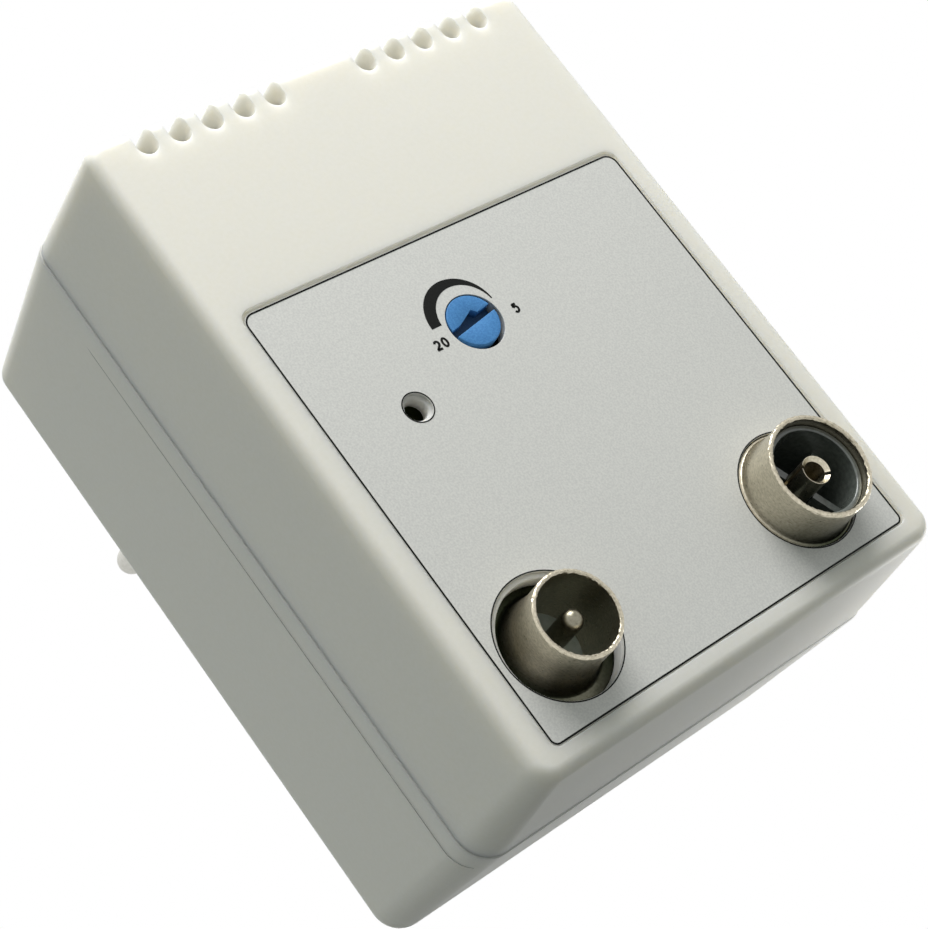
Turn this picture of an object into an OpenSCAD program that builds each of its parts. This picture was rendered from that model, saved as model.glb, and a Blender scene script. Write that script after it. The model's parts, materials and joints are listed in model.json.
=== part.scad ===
// Plug-in aerial amplifier: a two-part case on a mains plug, with a printed front panel,
// an aerial plug, an aerial socket and a gain control that is turned with a screwdriver.
// Sizes are in millimetres. Seen from the front, along +Y, +X is right and +Z is up.
// The origin lies midway between the mains pins, on the face that meets the wall socket.

/* [Case] */
// Width of the front face, before its edges are rounded
face_w = 59.3; // [58:0.1:66]
// Height of the front face, before its edges are rounded
face_h = 78; // [76:0.2:88]
// Depth of the front cover, from the front face to the seam
front_depth = 17.5; // [15:0.5:26]
// Depth of the rear cover, from the seam to the back face
rear_depth = 26.5; // [22:0.5:36]
// Wall thickness of both covers
wall = 2.2; // [1.6:0.1:2.6]
// Draft of the front cover's sides, in degrees
front_draft = 3.6; // [2:0.1:5]
// Draft of the rear cover's sides, in degrees
rear_draft = 1.2; // [0:0.1:2]
// Draft of the front cover's bottom, in degrees
front_bottom_draft = 5.5; // [3:0.1:7]
// Draft of the rear cover's bottom, in degrees
rear_bottom_draft = 2.7; // [0:0.1:4]
// Rounding of the front edges
front_edge_r = 1.3; // [0.8:0.1:2]
// Rounding of the back edges
back_edge_r = 2.3; // [1:0.1:3]
// Corner radius at the top of the outline
top_corner_r = 1.9; // [0.6:0.1:3]
// Corner radius at the bottom of the outline
bottom_corner_r = 2.6; // [1:0.1:4]
// How far the rear cover stands proud of the front cover at the seam
seam_step = 0.15; // [0:0.05:0.4]
// How far the locating ribs reach over the seam
rib_reach = 2.5; // [1:0.5:4]
// Length of each locating rib
rib_length = 16; // [8:1:20]

/* [Vents] */
// Number of vent slots in each of the two groups
vent_count = 5; // [2:1:5]
// Width of a vent slot
vent_w = 2.5; // [1.5:0.1:3]
// Distance between neighbouring vent slots
vent_pitch = 4.15; // [3.6:0.05:4.3]
// Distance of the innermost slot from the middle of the case
vent_first = 6.35; // [4:0.05:8]
// Depth of a slot below the top edge, on the front face
vent_drop = 3.4; // [2.5:0.1:4]
// Length of a slot along the top
vent_run = 8; // [4:0.5:12]

/* [Front panel] */
// Distance from the case's sides to the printed label
label_side = 3.4; // [3:0.05:4.5]
// Height of the printed label
label_h = 52.2; // [50:0.5:54]
// Corner radius of the printed label
label_corner_r = 1.9; // [0.5:0.1:4]
// Thickness of the printed label
label_t = 0.25; // [0.1:0.05:0.3]
// Depth of the recess that the label lies in
label_recess = 0.35; // [0.3:0.05:0.6]
// Distance from the bottom edge up to the middle of the label
label_from_bottom = 28.4; // [28:0.1:31]
// Distance of the aerial plug from the case's left side
tv_side = 11.35; // [11:0.05:12.5]
// Distance of the aerial socket from the case's right side
in_side = 12.45; // [12:0.05:13.5]
// Distance of both connectors below the label's middle
connector_drop = 17.2; // [14:0.1:17.6]
// Radius of the two connector openings
connector_hole_r = 6.85; // [6.7:0.05:7.2]
// Distance of the gain control to the left of the label's middle
gain_left = 3.3; // [2:0.1:5]
// Height of the gain control above the label's middle
gain_rise = 15.1; // [14:0.1:17]
// Radius of the gain control's opening
gain_hole_r = 3.33; // [3.2:0.01:4]
// Distance of the lamp opening to the left of the label's middle
lamp_left = 15.5; // [14:0.1:17]
// Height of the lamp opening above the label's middle
lamp_rise = 9.6; // [8:0.1:11]
// Radius of the lamp opening
lamp_hole_r = 1.73; // [1.6:0.01:2.2]

/* [Mains plug] */
// Distance from the top edge down to the mains pins
plug_from_top = 14.6; // [13:0.1:20]
// Depth of the tapered shoulder on the back face
shoulder_depth = 6; // [3:0.5:10]
// How far the shoulder spreads around the plug boss at the back face
shoulder_spread = 4.5; // [2:0.5:5]
// Length of the plug boss beyond the shoulder
boss_length = 16.5; // [14:0.5:22]
// Width of the plug boss
boss_w = 35.3; // [34.6:0.1:36]
// Height of the plug boss
boss_h = 13.7; // [13:0.1:14.4]
// Width of the plug boss's flat top and bottom
boss_flat_w = 25; // [20:0.5:28]
// Height of the plug boss's flat ends
boss_flat_h = 4; // [2:0.5:6]
// Rounding of the plug boss's long edges
boss_edge_r = 1.2; // [0.5:0.1:2]
// Wall thickness of the plug boss
boss_wall = 2; // [1.5:0.1:2.2]
// Thickness of the plug face that carries the pins
plug_face_t = 4; // [3:0.5:6]
// Distance between the mains pins
pin_spacing = 18.6; // [17.5:0.1:19.2]
// Radius of a mains pin
pin_r = 2; // [1.9:0.05:2.4]
// Length of a mains pin beyond the plug face
pin_length = 19; // [18:0.5:20]
// Radius of the necked part of a pin, under its sleeve
pin_neck_r = 1.5; // [1.2:0.05:1.6]
// Radius of the collar behind the plug face
pin_collar_r = 3.2; // [2.6:0.1:3.6]
// Thickness of the collar
pin_collar_t = 1.5; // [1:0.1:2.5]
// Length of a pin's tail behind its collar
pin_tail = 6.5; // [5:0.5:9]
// Outer radius of a pin's insulating sleeve
sleeve_r = 1.8; // [1.7:0.05:1.8]
// Length of a pin's insulating sleeve
sleeve_length = 10; // [8:0.5:12]
// Thickness of the plate that holds the pins
retainer_t = 3; // [2:0.5:4]
// Radius of an insulated mains lead
lead_r = 1.1; // [0.8:0.1:1.4]

/* [Screws] */
// Distance of the case screws from the case's sides
case_screw_side = 4.95; // [4.8:0.05:5.2]
// Distance of the upper case screws below the top edge
case_screw_top = 5.4; // [5:0.1:6]
// Distance of the lower case screws above the bottom edge
case_screw_bottom = 4.7; // [4.6:0.1:5]
// Radius of a case screw's head
case_head_r = 2.5; // [2:0.1:2.6]
// Thickness of a case screw's head
case_head_t = 2; // [1.5:0.1:3]
// Radius of the screws' shanks
shank_r = 1.1; // [0.8:0.05:1.2]
// Depth of a case screw's thread in the front cover
case_grip = 9; // [6:0.5:11]
// Thickness of plastic under a case screw's head
case_seat = 6; // [3:0.5:10]
// Radius of the screw bosses in the front cover
case_boss_r = 2.3; // [2:0.1:2.4]
// Radius of the screw columns in the rear cover
column_r = 4; // [3.6:0.1:4.2]
// Distance of the board screws from the front cover's inner sides
post_side = 3.35; // [3.2:0.05:4]
// Distance of the upper board screws above the label's middle
post_rise = 22; // [21:0.5:23]
// Distance of the lower board screws below the label's middle
post_drop = 4; // [2:0.5:5]
// Radius of the posts that carry the board
post_r = 2.6; // [2.2:0.1:2.8]
// Radius of a board screw's head
board_head_r = 2.3; // [1.8:0.1:2.5]
// Thickness of a board screw's head
board_head_t = 1.6; // [1:0.1:2]
// Depth of a board screw's thread in its post
board_grip = 5; // [3:0.5:6]

/* [Board] */
// Thickness of the board
board_t = 1.6; // [1:0.1:2]
// Distance from the front wall's inner face to the board
board_gap = 7.7; // [7.4:0.1:9]
// Clearance around the board's edge
board_edge = 0.6; // [0.5:0.1:0.9]
// Height of the shield can above the board
can_h = 6.2; // [5:0.1:6.8]
// Width of the shield can
can_w = 12.4; // [12:0.1:14]
// Length of the shield can
can_l = 13; // [11:0.5:14]
// Sheet thickness of the shield can
can_t = 0.4; // [0.3:0.1:0.6]

/* [Transformer] */
// Width of the transformer's laminated core
core_w = 30; // [28:0.5:31]
// Thickness of the lamination stack
core_stack = 15; // [12:0.5:16]
// Width of the core's middle limb
limb_w = 10; // [9:0.5:10.5]
// Width of the core's yokes and outer limbs
yoke_w = 5; // [4:0.5:5.5]
// Height of the bobbin's flanges
flange_h = 24; // [22:0.5:25]
// Wall thickness of the bobbin
bobbin_t = 0.8; // [0.6:0.1:1]
// Clearance between the bobbin and the core
bobbin_gap = 0.15; // [0.1:0.05:0.3]
// Distance of the transformer to the right of the middle
core_right = 7; // [6:0.5:7.5]

/* [Aerial plug] */
// Outer radius of the aerial plug's shell
tv_shell_r = 4.76; // [4.7:0.01:4.8]
// Wall thickness of the aerial plug's shell
tv_shell_t = 0.5; // [0.4:0.05:0.7]
// How far the aerial plug stands out of the front face
tv_reach = 4.75; // [3:0.05:8]
// Depth inside the aerial plug, from its rim to the insulator
tv_depth = 8.8; // [6:0.1:9.5]
// Radius of the aerial plug's flange
tv_flange_r = 6.5; // [6:0.1:6.6]
// Thickness of the aerial plug's flange
tv_flange_t = 1.3; // [1:0.1:1.6]
// Depth of the flange below the front face
tv_flange_sink = 2; // [1.6:0.1:2.4]
// How much thicker the aerial plug's body is than its shell
tv_body_t = 0.8; // [0.4:0.1:1.2]
// Radius of the aerial plug's centre pin
tv_pin_r = 1.18; // [1.1:0.01:1.25]
// Depth of the centre pin's tip below the rim
tv_pin_sink = 0.5; // [0.4:0.1:2]

/* [Aerial socket] */
// Outer radius of the aerial socket's shell
in_shell_r = 6.03; // [5.9:0.01:6.2]
// Wall thickness of the aerial socket's shell
in_shell_t = 0.55; // [0.4:0.05:0.6]
// How far the aerial socket stands out of the front face
in_reach = 5.05; // [3:0.05:8]
// Inner radius of the socket's black liner, which takes a plug's shell
in_liner_r = 4.85; // [4.78:0.01:4.95]
// Depth of the liner's edge below the rim
in_liner_sink = 1.2; // [0.6:0.1:2]
// Depth inside the aerial socket, from its rim to the liner's floor
in_depth = 9.5; // [7:0.1:10]
// Bore radius of the socket's centre contact
contact_bore_r = 1.2; // [1.15:0.01:1.25]
// Wall thickness of the centre contact
contact_t = 0.45; // [0.3:0.05:0.6]
// Depth of the centre contact's mouth below the rim
contact_sink = 1; // [0.8:0.1:3]
// Thickness of the centre contact's closed end
contact_base = 0.6; // [0.4:0.1:1]
// Radius of the socket's foot on the board
in_foot_r = 7; // [6.6:0.1:7.1]
// Thickness of the socket's foot
in_foot_t = 1; // [0.6:0.1:1.5]
// Radius of the collar that fills the panel's opening around the aerial socket
in_collar_r = 6.6; // [6.4:0.05:6.65]
// Thickness of that collar
in_collar_t = 1.2; // [0.8:0.1:1.6]
// Depth of that collar's face below the front face
in_collar_sink = 0.3; // [0.1:0.05:0.6]
// Radius of the connectors' tails through the board
tail_r = 0.8; // [0.6:0.05:0.9]

/* [Gain control] */
// Radius of the rotor's head
rotor_r = 3.05; // [2.8:0.01:3.1]
// Depth of the rotor's head below the front face
rotor_sink = 0.15; // [0:0.05:1]
// Height of the rotor's axis above the middle of its opening
rotor_offset = 0.22; // [0:0.01:0.25]
// Width of the screwdriver slot
slot_w = 0.8; // [0.6:0.05:1.2]
// Depth of the screwdriver slot
slot_depth = 1.1; // [0.6:0.1:1.6]
// Reach of the pointer notch along the slot, to the left of the axis
pointer_left = 1.9; // [1:0.1:2.4]
// Reach of the pointer notch along the slot, to the right of the axis
pointer_right = 1.15; // [0.8:0.05:2]
// Distance of the pointer's tip to the right of the axis
pointer_shift = 0.65; // [0:0.05:0.75]
// Height of the pointer's tip above the slot's edge
pointer_l = 0.65; // [0.4:0.05:1.4]
// Turn of the rotor, anticlockwise from pointing straight up
rotor_turn = 10; // [-90:1:90]
// Radius of the rotor's journal
journal_r = 2.2; // [1.8:0.05:2.6]
// Running clearance of the journal in the trimmer's body
journal_gap = 0.05; // [0.02:0.01:0.08]
// Side of the trimmer's square body
trimmer_w = 9.8; // [9:0.1:11]
// Height of the trimmer's body
trimmer_h = 4.4; // [4:0.1:4.6]
// Thickness of the trimmer's track plate
track_t = 0.8; // [0.6:0.1:1]
// Radius of the space that the wiper turns in
wiper_space_r = 4.2; // [3.9:0.1:4.4]
// Height of the space that the wiper turns in
wiper_space_h = 1.2; // [1:0.1:1.6]
// Thickness of the wiper
wiper_t = 0.3; // [0.2:0.05:0.4]
// Width of the wiper's arm
wiper_w = 0.9; // [0.8:0.1:1.4]
// Radius of the wiper's contact
wiper_tip_r = 0.35; // [0.25:0.05:0.4]
// Clearance between the wiper and the walls of its space
wiper_gap = 0.5; // [0.3:0.1:0.8]
// Distance between the trimmer's legs
leg_pitch = 2.5; // [2:0.1:3.2]

/* [Lamp] */
// Radius of the lamp's lens
led_r = 1.5; // [1.4:0.05:1.6]
// Height of the lamp above the board
led_h = 5.3; // [4.5:0.1:6]
// Radius of the lamp's base ring
led_base_r = 1.9; // [1.7:0.05:2.1]
// Thickness of the lamp's base ring
led_base_t = 1; // [0.6:0.1:1.4]
// Distance between the lamp's wires
led_pitch = 2.54; // [2:0.02:2.8]

/* [Power parts] */
// Clearance between the power parts
parts_gap = 1.2; // [0.8:0.1:1.5]
// Radius of the component wires
wire_r = 0.35; // [0.25:0.05:0.38]
// Radius of the transformer's terminals and the trimmer's legs
leg_r = 0.4; // [0.3:0.05:0.45]
// Length of the soldered ends beyond the board
solder_stub = 1; // [0.6:0.1:1.3]
// Distance between neighbouring transformer terminals
terminal_pitch = 4.5; // [3.5:0.1:4.6]
// Height of the transformer's core above the board
terminal_h = 2.2; // [2:0.1:3]
// Clearance between the transformer's core and the back wall
core_back_gap = 2; // [1:0.1:4]
// Radius of a rectifier diode
diode_r = 1.3; // [1:0.05:1.35]
// Length of a rectifier diode
diode_l = 5; // [4:0.1:6]
// Distance between a rectifier diode's wires
diode_pitch = 8; // [7.5:0.1:9]
// Distance between neighbouring rectifier diodes
diode_step = 3; // [2.8:0.1:3.4]
// Radius of the reservoir capacitor
reservoir_r = 5; // [4:0.1:5.2]
// Length of the reservoir capacitor
reservoir_l = 16; // [12:0.5:20]
// Distance between the reservoir capacitor's wires
reservoir_pitch = 5; // [3.5:0.5:6]
// Distance of the reservoir capacitor from the left board screws
reservoir_in = 9; // [8.6:0.1:9.5]
// Height of the reservoir capacitor above the label's middle
reservoir_rise = 19; // [18.5:0.1:20]
// Radius of the output capacitor
output_r = 3.15; // [2.5:0.05:3.4]
// Length of the output capacitor
output_l = 11; // [7:0.5:14]
// Distance between the output capacitor's wires
output_pitch = 2.5; // [2:0.1:3]
// Distance of the output capacitor from the front cover's inner left side
output_side = 4.85; // [4.7:0.05:5.2]
// Height of the output capacitor above the label's middle
output_rise = 12.5; // [12:0.1:13]
// Radius of the voltage regulator's rounded side
regulator_r = 2.3; // [2:0.1:2.6]
// Length of the voltage regulator's body
regulator_l = 4.8; // [4:0.1:5.5]
// Distance of the voltage regulator's flat side from its middle
regulator_flat = 1.2; // [0.8:0.1:1.6]
// Height of the voltage regulator's body above the board
regulator_lift = 2; // [1.5:0.1:3]
// Distance between the voltage regulator's wires
regulator_pitch = 2.54; // [2.2:0.02:2.8]
// Distance of the voltage regulator from the left board screws
regulator_in = 6.5; // [5.5:0.1:7.5]
// Height of the voltage regulator above the label's middle
regulator_rise = 29; // [27.5:0.1:30]
// Radius of the thermal fuse
fuse_r = 1.4; // [1.1:0.05:1.6]
// Length of the thermal fuse
fuse_l = 8; // [6:0.5:9]
// Distance between the thermal fuse's wires
fuse_pitch = 13; // [11:0.5:14]

/* [Signal parts] */
// Width of a signal transistor
transistor_w = 2.9; // [2.4:0.1:3.2]
// Length of a signal transistor
transistor_l = 1.6; // [1.2:0.1:1.8]
// Height of a signal transistor
transistor_h = 1.1; // [0.8:0.1:1.4]
// Distance of the signal transistors from the can's middle, both sideways and upwards
transistor_offset = 3.7; // [3.4:0.1:4]
// Width of the ferrite coupler
ferrite_w = 7; // [6:0.1:8]
// Length of the ferrite coupler
ferrite_l = 3.6; // [3:0.1:4.4]
// Height of the ferrite coupler
ferrite_h = 3.4; // [3:0.1:4]
// Radius of the ferrite coupler's two holes
ferrite_hole_r = 0.9; // [0.6:0.05:1.2]
// Width of a chip capacitor
chip_w = 2; // [1.6:0.1:2.4]
// Length of a chip capacitor
chip_l = 1.3; // [0.8:0.1:1.6]
// Height of a chip capacitor
chip_h = 1; // [0.6:0.1:1.4]
// Distance between neighbouring chip capacitors
chip_pitch = 4; // [3:0.1:4.4]
// Distance of the chip capacitors below the can's middle
chip_drop = 4; // [3.6:0.1:4.2]
// Width of a chip resistor
resistor_w = 1.2; // [0.8:0.1:1.4]
// Length of a chip resistor
resistor_l = 1.8; // [1.4:0.1:2]
// Height of a chip resistor
resistor_h = 0.6; // [0.4:0.1:0.8]
// Distance of the chip resistors from the can's middle, sideways
resistor_offset = 4.8; // [4.5:0.1:5]
// Distance between the two chip resistors on one side
resistor_pitch = 2.4; // [2.2:0.1:2.6]

/* [Hidden] */

// Working values
cut = 1;
skin = 0.02;
fit_gap = 0.05;
round_steps = 6;
least_corner_r = 0.4;

// Depths, from the plug face towards the viewer
y_back = -(boss_length + shoulder_depth);
y_seam = y_back - rear_depth;
y_front = y_seam - front_depth;
y_inner_front = y_front + wall;
y_inner_back = y_back - wall;
y_label = y_front + label_recess;
y_board = y_inner_front + board_gap;
y_board_back = y_board + board_t;

// Heights and places on the front panel
z_top = plug_from_top;
z_bottom = z_top - face_h;
z_label = z_bottom + label_from_bottom;
label_w = face_w - 2 * label_side;
tv_x = tv_side - face_w / 2;
in_x = face_w / 2 - in_side;
z_connector = z_label - connector_drop;
gain_x = -gain_left;
z_gain_hole = z_label + gain_rise;
z_rotor = z_gain_hole + rotor_offset;
lamp_x = -lamp_left;
z_lamp = z_label + lamp_rise;

// Outline growth at the seam, from the front cover's draft
seam_grow = front_depth * tan(front_draft);
// How much further the bottom leans out than the sides, for each mm of depth and at the seam
front_low = tan(front_bottom_draft) - tan(front_draft);
rear_low = tan(rear_bottom_draft) - tan(rear_draft);
seam_low = front_depth * front_low;
inner_half_w = face_w / 2 - wall;

// Places of the screws
case_screw_x = face_w / 2 - case_screw_side;
board_screw_x = inner_half_w - post_side;
z_screw_top = z_top - case_screw_top;
z_screw_bottom = z_bottom + case_screw_bottom;
case_screw_places = [for (x = [-1, 1], z = [z_screw_top, z_screw_bottom]) [x * case_screw_x, z]];
z_post_top = z_label + post_rise;
z_post_bottom = z_label - post_drop;
post_places = [for (x = [-1, 1], z = [z_post_top, z_post_bottom]) [x * board_screw_x, z]];
screw_gap = 0.3;

// The board's outline: a wide middle and a narrower full height that clears the screw bosses
board_w = 2 * (inner_half_w - board_edge);
board_narrow_w = 2 * (case_screw_x - case_boss_r - board_edge);
board_z_top = z_top - wall - board_edge;
board_z_bottom = z_bottom + wall + board_edge;
board_shoulder_top = z_screw_top - case_boss_r - board_edge;
board_shoulder_bottom = z_screw_bottom + case_boss_r + board_edge;

// Leads through the board
y_stub_front = y_board - solder_stub;
y_stub_back = y_board_back + solder_stub;
board_tail_r = tail_r + fit_gap;

// Trimmer
y_track = y_board - track_t;
y_trimmer = y_track - trimmer_h;
y_wiper_space = y_track - wiper_space_h;
rotor_lift = 0.2;
y_rotor = y_front + rotor_sink;
y_rotor_shoulder = y_trimmer - rotor_lift;
journal_reach = 0.1;
y_journal_end = y_wiper_space + journal_reach;
wiper_lift = 0.15;
leg_cover = 1;
z_legs = z_rotor - trimmer_w / 2 - leg_r - skin;
leg_places = [for (k = [-1:1]) [gain_x + k * leg_pitch, z_legs]];

// Transformer
core_x = core_right;
y_core = y_board_back + terminal_h;
y_core_end = y_inner_back - core_back_gap;
core_length = y_core_end - y_core;
window_length = core_length - 2 * yoke_w;
y_window = y_core + yoke_w;
tube_w = limb_w + 2 * (bobbin_gap + bobbin_t);
tube_h = core_stack + 2 * (bobbin_gap + bobbin_t);
flange_w = core_w - 2 * yoke_w - 2 * bobbin_gap;
coil_w = flange_w - 2 * bobbin_t;
coil_h = flange_h - 2 * bobbin_t;
coil_space = window_length - 2 * (bobbin_gap + bobbin_t);
coil_gap = 0.1;
block_inner = core_stack / 2 + bobbin_gap;
block_middle = (block_inner + flange_h / 2) / 2;
z_core = z_legs + leg_r + parts_gap - block_inner;
terminal_places = [
    for (s = [-1, 1], k = [-1:1]) [core_x + k * terminal_pitch, z_core + s * block_middle]
];

// Power parts on the back of the board
core_left_edge = core_x - core_w / 2;
diode_x = core_left_edge - parts_gap - wire_r - diode_pitch / 2;
diode_count = 4;
z_diode_first = z_core - parts_gap - diode_r;
diode_places = [for (k = [0:diode_count - 1]) [diode_x, z_diode_first - k * diode_step]];
reservoir_place = [reservoir_in - board_screw_x, z_label + reservoir_rise];
output_place = [output_side - inner_half_w, z_label + output_rise];
regulator_place = [regulator_in - board_screw_x, z_label + regulator_rise];
fuse_place = [core_x, z_rotor + trimmer_w / 2 + parts_gap + wire_r];

// Signal parts on the front of the board, under the shield can
can_x = (tv_x + in_x) / 2;
z_can = z_connector;

// Connectors
y_tv_rim = y_front - tv_reach;
y_tv_floor = y_tv_rim + tv_depth;
y_tv_flange = y_front + tv_flange_sink;
tv_body_r = tv_shell_r + tv_body_t;
y_in_rim = y_front - in_reach;
y_in_floor = y_in_rim + in_depth;
y_in_collar = y_front + in_collar_sink;
contact_r = contact_bore_r + contact_t;

led_places = [for (s = [-1, 1]) [lamp_x + s * led_pitch / 2, z_lamp]];

function pair(place, pitch) = [for (s = [-1, 1]) [place[0] + s * pitch / 2, place[1]]];
function row(place, pitch) = [for (k = [-1:1]) [place[0] + k * pitch, place[1]]];

// Every place where a component's wire passes through the board
wire_places = concat(
    terminal_places, led_places, leg_places,
    pair(reservoir_place, reservoir_pitch), pair(output_place, output_pitch),
    row(regulator_place, regulator_pitch), pair(fuse_place, fuse_pitch),
    [for (d = diode_places) each pair(d, diode_pitch)],
    [[-pin_spacing / 2, 0], [pin_spacing / 2, 0]]
);

// A round bar along Y
module rod(place, y0, y1, r) {
    translate([place[0], y0, place[1]]) rotate([-90, 0, 0]) cylinder(r = r, h = y1 - y0, $fn = 64);
}

// A round tube along Y
module tube(place, y0, y1, r_out, r_in) {
    difference() {
        rod(place, y0, y1, r_out);
        rod(place, y0 - cut, y1 + cut, r_in);
    }
}

// A box given by its middle and size in X and Z, and its two ends in Y
module slab(place, w, h, y0, y1) {
    translate([place[0] - w / 2, y0, place[1] - h / 2]) cube([w, y1 - y0, h]);
}

// A plate with round corners around the label's middle
module label_plate(grow, y0, y1) {
    w = label_w + 2 * grow;
    h = label_h + 2 * grow;
    r = label_corner_r + grow;
    translate([0, y0, z_label]) rotate([-90, 0, 0]) linear_extrude(y1 - y0) {
        square([w - 2 * r, h], center = true);
        square([w, h - 2 * r], center = true);
        for (x = [-1, 1], z = [-1, 1]) translate([x * (w / 2 - r), z * (h / 2 - r)]) circle(r, $fn = 48);
    }
}

// Four thin discs at the corners of the case's outline, grown by some distance and further at the bottom
module corner_discs(y, grow, low) {
    for (side = [-1, 1], top = [0, 1]) {
        r = max((top == 1 ? top_corner_r : bottom_corner_r) + grow, least_corner_r);
        x = side * (face_w / 2 + grow - r);
        z = top == 1 ? z_top + grow - r : z_bottom - grow - low + r;
        translate([x, y, z]) rotate([-90, 0, 0]) cylinder(r = r, h = skin, $fn = 32);
    }
}

// The front cover's outer form, or with an inset the space inside it
module front_block(inset, y_end) {
    r = max(front_edge_r - inset, least_corner_r);
    hull() {
        for (k = [0:round_steps]) {
            turn = 90 * k / round_steps;
            depth = inset + r * (1 - cos(turn));
            grow = depth * tan(front_draft) - inset - r * (1 - sin(turn));
            corner_discs(y_front + depth, grow, depth * front_low);
        }
        reach = y_end - y_front;
        corner_discs(y_end - skin, reach * tan(front_draft) - inset, reach * front_low);
    }
}

// The rear cover's outer form, or with an inset the space inside it
module rear_block(inset, y_start) {
    r = max(back_edge_r - inset, least_corner_r);
    function grow(y) = seam_grow + seam_step - (y - y_seam) * tan(rear_draft) - inset;
    function low(y) = seam_low - (y - y_seam) * rear_low;
    hull() {
        corner_discs(y_start, grow(y_start), low(y_start));
        for (k = [0:round_steps]) {
            turn = 90 * k / round_steps;
            y = y_back - inset - r * (1 - cos(turn));
            corner_discs(y - skin, grow(y) - r * (1 - sin(turn)), low(y));
        }
    }
}

// The six-sided outline of the plug boss, as thin or long round bars at its edges
module boss_bars(grow, y0, y1) {
    r = max(boss_edge_r + grow, least_corner_r);
    flat_x = boss_flat_w / 2 + grow / 2 - r / 2;
    for (x = [-1, 1], z = [-1, 1]) {
        rod([x * flat_x, z * (boss_h / 2 + grow - r)], y0, y1, r);
        rod([x * (boss_w / 2 + grow - r), z * boss_flat_h / 2], y0, y1, r);
    }
}

module vent_slots() {
    r = vent_w / 2;
    z = z_top - vent_drop + r;
    for (side = [-1, 1], k = [0:vent_count - 1]) {
        x = side * (vent_first + k * vent_pitch);
        rod([x, z], y_front - cut, y_front + vent_run, r);
        translate([x - r, y_front - cut, z]) cube([vent_w, vent_run + cut, vent_drop + wall]);
    }
}

module panel_holes(y0, y1) {
    rod([tv_x, z_connector], y0, y1, connector_hole_r);
    rod([in_x, z_connector], y0, y1, connector_hole_r);
    rod([gain_x, z_gain_hole], y0, y1, gain_hole_r);
    rod([lamp_x, z_lamp], y0, y1, lamp_hole_r);
}

module front_cover() color("#e9e6da") difference() {
    union() {
        difference() {
            front_block(0, y_seam);
            front_block(wall, y_seam + cut);
        }
        for (p = case_screw_places) rod(p, y_inner_front - skin, y_seam, case_boss_r);
        for (p = post_places) rod(p, y_inner_front - skin, y_board, post_r);
    }
    label_plate(fit_gap, y_front - cut, y_label);
    panel_holes(y_front - cut, y_inner_front + cut);
    vent_slots();
    for (p = case_screw_places) rod(p, y_seam - case_grip - cut, y_seam + cut, shank_r + fit_gap);
    for (p = post_places) rod(p, y_board - board_grip - cut, y_board + cut, shank_r + fit_gap);
}

// Ribs of the rear cover that reach over the seam and locate the front cover
module locating_ribs() {
    rib_t = 1.3;
    rib_gap = 0.45;
    root = 6;
    half_w = inner_half_w + seam_grow - rib_gap;
    top = z_top - wall + seam_grow - rib_gap;
    bottom = z_bottom + wall - seam_grow - seam_low + rib_gap;
    middle = (z_top + z_bottom) / 2;
    weld = wall / 2 + rib_gap;
    y0 = y_seam - rib_reach;
    y1 = y_seam + root;
    for (side = [-1, 1]) {
        slab([side * (half_w - rib_t / 2), middle], rib_t, rib_length, y0, y1);
        slab([side * (half_w - rib_t / 2 + weld / 2), middle], rib_t + weld, rib_length, y_seam, y1);
    }
    slab([0, top - rib_t / 2], rib_length, rib_t, y0, y1);
    slab([0, top - rib_t / 2 + weld / 2], rib_length, rib_t + weld, y_seam, y1);
    slab([0, bottom + rib_t / 2], rib_length, rib_t, y0, y1);
    slab([0, bottom + rib_t / 2 - weld / 2], rib_length, rib_t + weld, y_seam, y1);
}

module rear_cover() color("#e6e3d7") difference() {
    union() {
        difference() {
            rear_block(0, y_seam);
            rear_block(wall, y_seam - cut);
        }
        hull() {
            boss_bars(shoulder_spread, y_back - wall / 2, y_back);
            boss_bars(skin, y_back, y_back + shoulder_depth);
        }
        hull() boss_bars(0, y_back, 0);
        locating_ribs();
        for (p = case_screw_places) rod(p, y_seam, y_inner_back + skin, column_r);
    }
    hull() boss_bars(-boss_wall, y_inner_back - cut, -plug_face_t);
    for (x = [-1, 1]) rod([x * pin_spacing / 2, 0], -plug_face_t - cut, cut, pin_neck_r + fit_gap);
    for (p = case_screw_places) {
        rod(p, y_seam - cut, y_back + cut, shank_r + screw_gap);
        rod(p, y_seam + case_seat, y_back + cut, case_head_r + screw_gap);
    }
}

module front_label() color("#c9c8c3") difference() {
    label_plate(0, y_label - label_t, y_label);
    panel_holes(y_front - cut, y_inner_front);
}

// A pan-head screw along Y whose head lies on a face and whose shank points to the front
module screw(place, y_seat, head_r, head_t, length) {
    recess_w = 0.6;
    difference() {
        union() {
            rod(place, y_seat, y_seat + head_t, head_r);
            rod(place, y_seat - length, y_seat + skin, shank_r);
        }
        for (turn = [0, 90]) translate([place[0], y_seat + head_t, place[1]]) rotate([0, turn, 0])
            cube([head_r * 1.2, head_t, recess_w], center = true);
    }
}

module case_screws() color("#8f9092") for (p = case_screw_places)
    screw(p, y_seam + case_seat, case_head_r, case_head_t, case_seat + case_grip);

module board_screws() color("#8f9092") for (p = post_places)
    screw(p, y_board_back, board_head_r, board_head_t, board_t + board_grip);

module plug_pin(side) {
    place = [side * pin_spacing / 2, 0];
    color("#c8c4b8") union() {
        rod(place, sleeve_length, pin_length - pin_r, pin_r);
        translate([place[0], pin_length - pin_r, 0]) sphere(pin_r, $fn = 64);
        rod(place, -plug_face_t - pin_collar_t - pin_tail, sleeve_length + skin, pin_neck_r);
        rod(place, -plug_face_t - pin_collar_t, -plug_face_t, pin_collar_r);
    }
}

module left_plug_pin() plug_pin(-1);
module right_plug_pin() plug_pin(1);

module pin_sleeve(side) color("#20201f")
    tube([side * pin_spacing / 2, 0], 0, sleeve_length, sleeve_r, pin_neck_r + fit_gap);

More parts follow.
